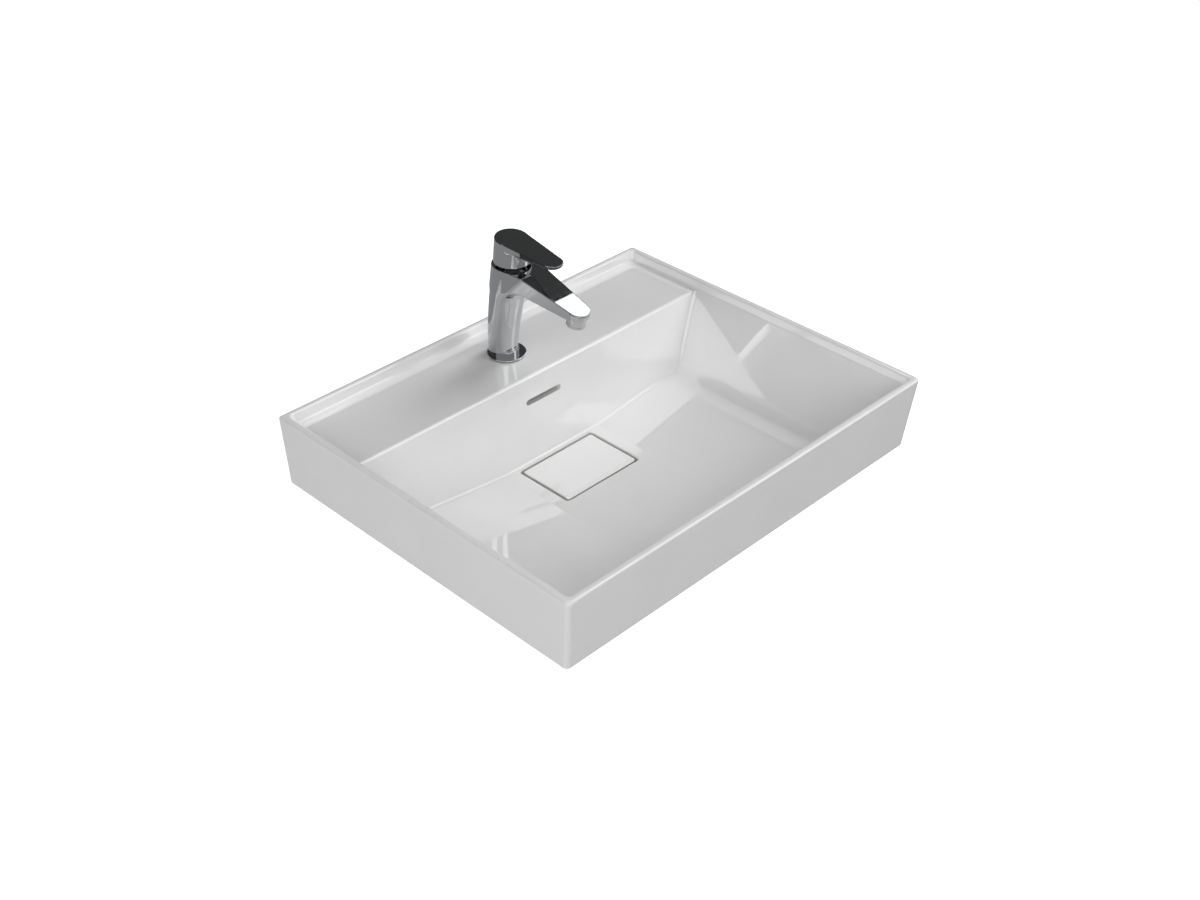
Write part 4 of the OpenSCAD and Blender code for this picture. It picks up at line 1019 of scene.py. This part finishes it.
def cover_solid():
    """The plate with soft edges, its lifting slope, the hollow underneath and the plug's seat."""
    half, depth = SUMP_W / 2 - COVER_GAP, SUMP_D - 2 * COVER_GAP
    radius, top = SUMP_R - COVER_GAP / 2, COVER_Z + COVER_T
    back, front = WASTE_Y + depth / 2, WASTE_Y - depth / 2
    soft = [(COVER_SOFT_R * (1 - math.sin(a)), COVER_SOFT_R * (1 - math.cos(a)))
            for a in np.linspace(0, math.pi / 2, ROUND_STEPS)]
    steps = [(inset, COVER_Z + rise) for inset, rise in soft]
    steps += [(inset, top - rise) for inset, rise in reversed(soft)]
    cover = loft("waste_cover_plate", [
        rounded_ring((half - inset, back - inset, front + inset), radius - inset, radius - inset, z)
        for inset, z in steps])
    # The slope meets the flat top in a soft bend instead of a line
    slope = math.atan2(COVER_BEVEL_H, COVER_BEVEL)
    bend_y = front + COVER_BEVEL + BEVEL_BEND_R * math.tan(slope / 2)
    curve = [(bend_y - BEVEL_BEND_R * math.sin(a), top - BEVEL_BEND_R * (1 - math.cos(a)))
             for a in np.linspace(0, slope, BEVEL_STEPS)]
    low = (front - OVER, top - COVER_BEVEL_H - OVER * math.tan(slope))
    profile = [low, *reversed(curve), (curve[0][0], top + OVER), (front - OVER, top + OVER)]
    recess_z = COVER_Z + COVER_RECESS
    carve(cover, [
        ("DIFFERENCE", plate("cover_recess", half - COVER_RIM, depth - 2 * COVER_RIM, radius,
                             COVER_Z - OVER, recess_z)),
        ("UNION", turned("cover_boss", (0, WASTE_Y), "Z", COVER_BOSS_R, PLUG_TOP,
                         recess_z + OVER / 2)),
        ("DIFFERENCE", turned("cover_hole", (0, WASTE_Y), "Z", PEG_HOLE_R, PLUG_TOP - OVER,
                              PLUG_TOP + PEG_HOLE_H, PEG_STEPS)),
        ("DIFFERENCE", across("cover_slope", 2 * half + 2 * OVER, profile))])
    return cover


cover = cover_solid()
for finish in (white_glaze, thin_glaze, painted_shade_glaze):
    cover.data.materials.append(finish)
UPRIGHT = 0.8
for face in cover.data.polygons:
    height = face.center.z / MM - COVER_Z
    hollow = height < COVER_RECESS + 0.1 and face.normal.z < -0.1
    # The cover's sides get the glaze painted greyer as painted shade, which darkens the gap round
    # it
    side = height < COVER_T - COVER_SOFT_R / 2 and abs(face.normal.z) < UPRIGHT
    face.material_index = 1 if hollow else 2 if side else 0
soft_shading(cover, SHARP_CERAMIC)
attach(cover, "cover")
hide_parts("waste_cover")
print("cover faces:", len(cover.data.polygons))

# %% [markdown]
# ## Parts that follow a rule
# A spring wire, the cells of an aerator and the ribs of a nut repeat by a rule, so Geometry
# Nodes grow them: a change of count or pitch is one number. Each tree has named inputs, and
# its result is turned into a plain mesh. Modelling each cell by hand would give the same look
# with far more to keep in step.

# %% Geometry Nodes helpers
def rule_tree(name, measures, counts=()):
    """New tree whose inputs are measures and whole counts, and the sockets that give them."""
    tree = bpy.data.node_groups.new(name, "GeometryNodeTree")
    tree.interface.new_socket("Geometry", in_out="OUTPUT", socket_type="NodeSocketGeometry")
    for labels, kind in ((measures, "NodeSocketFloat"), (counts, "NodeSocketInt")):
        for label in labels:
            tree.interface.new_socket(label, in_out="INPUT", socket_type=kind)
    return tree, tree.nodes.new("NodeGroupInput").outputs


def reckon(tree, operation, a, b=0.0):
    """Sum, product or other result of two numbers or sockets."""
    return add(tree, "ShaderNodeMath", {0: a, 1: b}, operation=operation).outputs[0]


def times(tree, a, b):
    """Product of two numbers or sockets."""
    return reckon(tree, "MULTIPLY", a, b)


def less(tree, a, b):
    """What is left of a without b."""
    return reckon(tree, "SUBTRACT", a, b)


def circle(tree, radius, steps):
    """Curve of a circle."""
    return add(tree, "GeometryNodeCurvePrimitiveCircle",
               {"Resolution": steps, "Radius": radius}).outputs["Curve"]


def oblong(tree, width, height, soft=None):
    """Curve of a rectangle, whose corners may be soft."""
    curve = add(tree, "GeometryNodeCurvePrimitiveQuadrilateral",
                {"Width": width, "Height": height}).outputs["Curve"]
    if soft is None:
        return curve
    return add(tree, "GeometryNodeFilletCurve", {"Curve": curve, "Count": 4, "Radius": soft},
               mode="POLY").outputs[0]


def swept(tree, path, section, capped=False):
    """Mesh of a section drawn along a path."""
    return add(tree, "GeometryNodeCurveToMesh", {"Curve": path, "Profile Curve": section,
                                                 "Fill Caps": capped}).outputs[0]


def at_each(tree, points, shape):
    """The shape at every point."""
    return add(tree, "GeometryNodeInstanceOnPoints",
               {"Points": points, "Instance": shape}).outputs[0]


def joined(tree, *shapes):
    """All the shapes as one."""
    both = add(tree, "GeometryNodeJoinGeometry")
    for shape in shapes:
        tree.links.new(shape, both.inputs[0])
    return both.outputs[0]


def close_tree(tree, shape, material, smooth=True):
    """Realises the shape, gives it its material and ends the tree."""
    real = add(tree, "GeometryNodeRealizeInstances", {"Geometry": shape})
    shaded = add(tree, "GeometryNodeSetShadeSmooth", {"Geometry": real.outputs[0],
                                                      "Shade Smooth": smooth})
    painted = add(tree, "GeometryNodeSetMaterial", {"Geometry": shaded.outputs[0],
                                                    "Material": material})
    tree.links.new(painted.outputs[0], tree.nodes.new("NodeGroupOutput").inputs[0])


def moved(x, y, z):
    """Move by these millimetres."""
    return Matrix.Translation(Vector((x, y, z)) * MM)


def grow(name, tree, values, place, sharp_deg):
    """Mesh object that the tree makes from these values, moved to its place."""
    made = in_scene(name, bpy.data.meshes.new(name))
    rule = made.modifiers.new("rule", "NODES")
    rule.node_group = tree
    for item in tree.interface.items_tree:
        if item.in_out == "INPUT":
            rule[item.identifier] = values[item.name]
    settle(made)
    made.data.transform(place)
    soft_shading(made, sharp_deg)
    return made


print("rule helpers are ready")

# %% Return spring
SPRING_FOOT, SPRING_H, COIL_R, WIRE_R, COIL_TURNS = -122.0, 13.0, 3.3, 0.45, 6.0
CLOSED_ENDS, SPRING_CLEAR = 0.55, 0.05

tree, given = rule_tree("closed_coil", ("Turns", "Radius", "Height", "Wire", "Closing"))
coil = add(tree, "GeometryNodeCurveSpiral", {
    "Resolution": 40, "Rotations": given["Turns"], "Height": given["Height"],
    "Start Radius": given["Radius"], "End Radius": given["Radius"]})
# A sine wave presses the first and last turns together
part = add(tree, "GeometryNodeSplineParameter").outputs["Factor"]
wave = reckon(tree, "SINE", times(tree, part, 2 * math.pi))
share = times(tree, given["Closing"], -1 / (2 * math.pi))
drop = times(tree, times(tree, wave, share), given["Height"])
move = add(tree, "ShaderNodeCombineXYZ", {"Z": drop})
wound = add(tree, "GeometryNodeSetPosition", {"Geometry": coil.outputs["Curve"],
                                              "Offset": move.outputs[0]})
close_tree(tree, swept(tree, wound.outputs[0], circle(tree, given["Wire"], 16), capped=True),
           steel_wire)
spring = grow("return_spring", tree,
              {"Turns": COIL_TURNS, "Radius": COIL_R * MM, "Height": SPRING_H * MM,
               "Wire": WIRE_R * MM, "Closing": CLOSED_ENDS},
              moved(0.0, WASTE_Y, SPRING_FOOT + WIRE_R + SPRING_CLEAR), 60.0)
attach(spring, "basin_and_tap")
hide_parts("click_spring")
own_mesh(spring)
print("spring faces:", len(spring.data.polygons))

# %% Aerator insert with its honeycomb
INSERT_R, INSERT_H, INSERT_UP, HOUSING_RIM_T = 9.4, 9.0, 1.0, 3.0
CELL_PITCH, CELL_WALL, CELL_ROWS, SLEEVE_T = 2.3, 0.32, 9, 1.2
ROW_STEP = math.sqrt(0.75)
# Cells whose middle is nearer the sleeve than this share of the pitch are left out
CELL_SPARE = 0.35

tree, given = rule_tree("honeycomb", ("Radius", "Height", "Pitch", "Wall", "Sleeve"), ("Rows",))
span = times(tree, given["Pitch"], less(tree, given["Rows"], 1.0))
grid = add(tree, "GeometryNodeMeshGrid", {
    "Size X": span, "Size Y": times(tree, span, ROW_STEP),
    "Vertices X": given["Rows"], "Vertices Y": given["Rows"]})
# Every second row moves by half a pitch
spot = add(tree, "ShaderNodeSeparateXYZ", {0: add(tree, "GeometryNodeInputPosition").outputs[0]})
row = reckon(tree, "DIVIDE", spot.outputs["Y"], times(tree, given["Pitch"], ROW_STEP))
odd = reckon(tree, "PINGPONG", reckon(tree, "ROUND", row), 1.0)
shift = add(tree, "ShaderNodeCombineXYZ", {"X": times(tree, odd, times(tree, given["Pitch"], 0.5))})
rows = add(tree, "GeometryNodeSetPosition", {"Geometry": grid.outputs["Mesh"],
                                             "Offset": shift.outputs[0]})
# Only the cells inside the sleeve stay
far = add(tree, "ShaderNodeVectorMath", {0: add(tree, "GeometryNodeInputPosition").outputs[0]},
          operation="LENGTH").outputs["Value"]
middle = less(tree, given["Radius"], times(tree, given["Sleeve"], 0.5))
edge = less(tree, middle, times(tree, given["Pitch"], CELL_SPARE))
outside = add(tree, "FunctionNodeCompare", {0: far, 1: edge}, data_type="FLOAT",
              operation="GREATER_THAN")
kept = add(tree, "GeometryNodeDeleteGeometry", {"Geometry": rows.outputs[0],
                                                "Selection": outside.outputs[0]}, domain="POINT")
points = add(tree, "GeometryNodeMeshToPoints", {"Mesh": kept.outputs[0]})
six = circle(tree, reckon(tree, "DIVIDE", given["Pitch"], math.sqrt(3)), 6)
turn = add(tree, "GeometryNodeTransform", {"Geometry": six, "Rotation": (0.0, 0.0, math.pi / 6)})
cell = swept(tree, turn.outputs[0], oblong(tree, given["Wall"], given["Height"]))
cells = at_each(tree, points.outputs[0], cell)
sleeve = swept(tree, circle(tree, middle, 64), oblong(tree, given["Sleeve"], given["Height"]))
close_tree(tree, joined(tree, cells, sleeve), white_plastic, smooth=False)
nose = (moved(0.0, TAP_Y - REACH, DECK_Z + SPOUT_TOP_Z) @ Matrix.Rotation(TILT, 4, "X")
        @ moved(0.0, 0.0, INSERT_UP - NOSE_DROP - HOUSING_RIM_T + INSERT_H / 2))
insert = grow("aerator_honeycomb", tree,
              {"Radius": INSERT_R * MM, "Height": INSERT_H * MM, "Pitch": CELL_PITCH * MM,
               "Wall": CELL_WALL * MM, "Sleeve": SLEEVE_T * MM, "Rows": CELL_ROWS}, nose, 30.0)
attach(insert, "basin_and_tap")
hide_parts("aerator_insert")
print("honeycomb faces:", len(insert.data.polygons))

# %% Ribbed waste nut
NUT_FOOT, NUT_T, NUT_R, NUT_HOLE_R, NUT_SOFT = -140.0, 9.0, 30.0, 21.3, 0.8
NUT_RIBS, RIB_R, RIB_SOFT_SHARE = 12, 2.0, 0.9

tree, given = rule_tree("ribbed_nut", ("Radius", "Hole", "Height", "Rib", "Soft"), ("Ribs",))
wall_t = less(tree, given["Radius"], given["Hole"])
middle = reckon(tree, "ADD", given["Hole"], times(tree, wall_t, 0.5))
ring = swept(tree, circle(tree, middle, 96), oblong(tree, wall_t, given["Height"], given["Soft"]))
seats = add(tree, "GeometryNodeMeshCircle", {"Vertices": given["Ribs"], "Radius": given["Radius"]})
rib = swept(tree, circle(tree, times(tree, given["Rib"], 0.5), 24),
            oblong(tree, given["Rib"], given["Height"], times(tree, given["Soft"], RIB_SOFT_SHARE)))
ribs = at_each(tree, seats.outputs[0], rib)
close_tree(tree, joined(tree, ring, ribs), white_plastic)
nut = grow("ribbed_waste_nut", tree,
           {"Radius": NUT_R * MM, "Hole": NUT_HOLE_R * MM, "Height": NUT_T * MM,
            "Rib": RIB_R * MM, "Soft": NUT_SOFT * MM, "Ribs": NUT_RIBS},
           moved(0.0, WASTE_Y, NUT_FOOT + NUT_T / 2), 40.0)
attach(nut, "basin_and_tap")
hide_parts("waste_nut")
print("nut faces:", len(nut.data.polygons))

# %% [markdown]
# ## Materials of the small parts
# The parts that keep their CAD shape only need their finish. Assigning it to the slots of each
# node's object leaves the mesh alone.

# %% Finishes of the parts kept from the CAD model
FINISHES = (
    (chrome_edged, ("plug_cap", "click_stem", "waste_body", "screw_plug", "aerator_housing")),
    (black_rubber, ("plug_seal", "waste_gasket", "waste_washer", "base_gasket", "deck_washer",
                    "cartridge_seal", "aerator_seal")),
    (white_plastic, ("click_housing", "cartridge_body", "disc_carrier", "turret")),
    (zinc_steel, ("fixing_stud", "deck_bracket", "grub_screw")),
    (brass, ("fixing_nut", "cartridge_nut", "spindle")),
    (lapped_disc, ("fixed_disc", "moving_disc")),
)
for finish, names in FINISHES:
    for kept in [nodes[name] for name in names]:
        if not kept.material_slots:
            kept.data.materials.append(finish)
        for held in kept.material_slots:
            held.material = finish
print("finished", sum(len(names) for _, names in FINISHES), "small parts")

# %% [markdown]
# ## Floor, light and surroundings
# The basin hangs at its usual height, with its rim 850 mm over a white floor. Six soft lamps and
# a faint sky light it. Their strengths were fitted to how bright the faces are in the
# photograph, for this one view. Polished chrome and glaze take their looks from what they
# mirror, so the studio has sheets that only reflections show. A tall black board stands behind
# the basin, with a bright panel along its top edge. That edge cuts the top of the spout into a
# black and a white half. Four cards draw the lines of light along the front corner, the rim, the
# bowl's right corner and the side. The floor is white to the camera and grey in reflections.

# %% Floor
RIM_ABOVE_FLOOR_MM = 850.0
FLOOR_HALF = 30.0
SKY_LIGHT = 0.12
FLOOR_GLOW = 0.92
MIRRORED_FLOOR, MIRRORED_SKY = 0.35, 0.45
WHITE = (1, 1, 1, 1)
floor_z = (RIM_Z - RIM_ABOVE_FLOOR_MM) * MM


def flat_sheet(name, corners):
    """One flat sheet through four corners, in metres."""
    mesh = bpy.data.meshes.new(name)
    mesh.from_pydata([tuple(c) for c in corners], [], [(0, 1, 2, 3)])
    made = in_scene(name, mesh)
    return made


def glowing(tree, strength):
    """Shader that gives white light."""
    return add(tree, "ShaderNodeEmission", {"Color": WHITE, "Strength": strength})


def either(tree, share, at_zero, at_one):
    """Number that is one value where share is 0 and another where it is 1."""
    return add(tree, "ShaderNodeMapRange", {"Value": share, "To Min": at_zero,
                                            "To Max": at_one}).outputs["Result"]


def ray_level(tree, plain, mirrored, direct):
    """A value for ordinary light, another for reflections, a third for what is seen directly."""
    path = add(tree, "ShaderNodeLightPath")
    level = either(tree, path.outputs["Is Glossy Ray"], plain, mirrored)
    seen = add(tree, "ShaderNodeMath", {0: path.outputs["Is Camera Ray"],
                                        1: path.outputs["Is Transmission Ray"]},
               operation="MAXIMUM")
    return either(tree, seen.outputs[0], level, direct)


floor = flat_sheet("floor", [(x * FLOOR_HALF, y * FLOOR_HALF, floor_z)
                             for x, y in ((-1, -1), (1, -1), (1, 1), (-1, 1))])
paint, tree, output = empty_material("pale_floor")
path = add(tree, "ShaderNodeLightPath")
matt = add(tree, "ShaderNodeBsdfDiffuse", {"Color": linear("#E6E6E6")})
glow = glowing(tree, ray_level(tree, 0.0, 0.0, FLOOR_GLOW))
both = add(tree, "ShaderNodeAddShader", {0: matt.outputs[0], 1: glow.outputs[0]})
split = add(tree, "ShaderNodeMixShader", {"Fac": path.outputs["Is Glossy Ray"],
                                          1: both.outputs[0],
                                          2: glowing(tree, MIRRORED_FLOOR).outputs[0]})
close_material(tree, output, split)
floor.data.materials.append(paint)
print("floor at", round(floor_z / MM), "mm")

# %% Sky
world = bpy.data.worlds.new("studio")
bpy.context.scene.world = world
world.use_nodes = True
tree = world.node_tree
tree.nodes.clear()
sky = add(tree, "ShaderNodeBackground",
          {"Color": WHITE, "Strength": ray_level(tree, SKY_LIGHT, MIRRORED_SKY, 1.0)})
add(tree, "ShaderNodeOutputWorld", {"Surface": sky.outputs[0]})
print("sky light", SKY_LIGHT)

# %% Lamps, black board and bright panel
def soft_lamp(name, place, aim, width, height, watts):
    """Rectangular soft lamp that points at aim."""
    data = bpy.data.lights.new(name, "AREA")
    data.shape = "RECTANGLE"
    data.size, data.size_y, data.energy = width, height, watts
    made = in_scene(name, data)
    made.location = place
    made.rotation_mode = "QUATERNION"
    made.rotation_quaternion = (Vector(aim) - Vector(place)).to_track_quat("-Z", "Y")
    made.visible_glossy = False
    return made


def mirrored_sheet(name, corners, strength):
    """A glowing sheet that only reflections show."""
    made = flat_sheet(name, corners)
    paint, tree, output = empty_material(name)
    close_material(tree, output, glowing(tree, strength))
    made.data.materials.append(paint)
    made.visible_camera = made.visible_diffuse = False
    made.visible_shadow = made.visible_transmission = False
    return made


def level_line(start, end, y, z):
    """Both ends of a level line along X."""
    return [(start, y, z), (end, y, z)]


# Place in metres, width, height and watts of each lamp; all point at the basin
LAMP_AIM = (0.0, -0.25, 0.0)
LAMPS = {
    "front_lamp": ((-1.6, -2.2, 1.3), 2.0, 1.6, 26.5),
    "left_lamp": ((-2.6, -0.2, 0.9), 1.8, 1.6, 21.0),
    "rear_right_lamp": ((2.7, 0.25, 1.35), 1.2, 1.0, 16.0),
    "front_right_lamp": ((2.0, -2.4, 2.0), 1.6, 1.2, 30.5),
    "side_lamp": ((1.7, 0.0, 2.0), 0.6, 0.6, 8.5),
    "top_lamp": ((0.9, 0.0, 2.4), 0.6, 0.6, 10.0),
}
for name, (place, width, height, watts) in LAMPS.items():
    soft_lamp(name, place, LAMP_AIM, width, height, watts)

# The spout turns from dark to bright this far in front of the tap hole
TURN_MM = 104.0
BOARD_LEFT, BOARD_RIGHT, BOARD_Y, BOARD_FOOT, BOARD_SHINE = -4.5, 7.0, 1.2, -0.25, 0.06
PANEL_LEFT, PANEL_FRONT_Y, PANEL_SHINE = 0.5, 0.98, 2.0
spout_normal = np.array([0.0, -math.sin(TILT), math.cos(TILT)])
turn = np.array([0.0, TAP_Y - TURN_MM, DECK_Z + SPOUT_TOP_Z + SPOUT_FALL * (REACH - TURN_MM)]) * MM
look = turn - np.array(camera.location)
mirrored = look - 2 * look.dot(spout_normal) * spout_normal
turn = turn + mirrored * (BOARD_Y - turn[1]) / mirrored[1]
board_top = turn[2]
mirrored_sheet("black_board", level_line(BOARD_LEFT, BOARD_RIGHT, BOARD_Y, BOARD_FOOT)
               + level_line(BOARD_RIGHT, BOARD_LEFT, BOARD_Y, board_top), BOARD_SHINE)
mirrored_sheet("bright_panel", level_line(PANEL_LEFT, BOARD_RIGHT, BOARD_Y, board_top)
               + level_line(BOARD_RIGHT, PANEL_LEFT, PANEL_FRONT_Y, board_top), PANEL_SHINE)
print("board top at", round(float(board_top), 2), "m")

# %% Cards for the lines of light along the corners, the rim and the side
def facing_card(name, centre, facing, width, height, strength):
    """A glowing card at centre that faces a point and that only reflections show."""
    centre, ahead = Vector(centre), (Vector(facing) - Vector(centre)).normalized()
    level = ahead.cross(Vector((0, 0, 1))).normalized() * width / 2
    upright = level.cross(ahead).normalized() * height / 2
    return mirrored_sheet(name, [centre - level - upright, centre + level - upright,
                                 centre + level + upright, centre - level + upright], strength)


# Each card: what mirrors it, which way that surface faces, distance, width, height, strength
front_corner = Vector((-BASIN_W / 2, -BASIN_D, 0.0)) * MM
rim_middle = Vector((0.0, -BASIN_D, RIM_Z)) * MM
bowl_corner = Vector((BOWL_FOOT_X, -DECK_D - 10, 0.0)) * MM
CARDS = {
    "corner_card": (front_corner, (-1, -1, 0), 1.3, 2.6, 0.7, 4.8),
    "rim_card": (rim_middle, (0, -1, 1), 2.6, 0.9, 3.4, 1.8),
    "bowl_card": (bowl_corner, (-0.63, -0.70, 0.42), 3.0, 1.6, 1.0, 1.8),
}
for name, (start, normal, far, width, height, strength) in CARDS.items():
    normal, look = Vector(normal).normalized(), (start - camera.location).normalized()
    away = look - 2 * look.dot(normal) * normal
    facing_card(name, start + away * far, start, width, height, strength)
facing_card("side_card", (2.4, -0.6, 0.5), (0.0, -0.1, 0.15), 2.0, 0.9, 2.2)

# %% View settings
bpy.context.scene.view_settings.view_transform = "Standard"
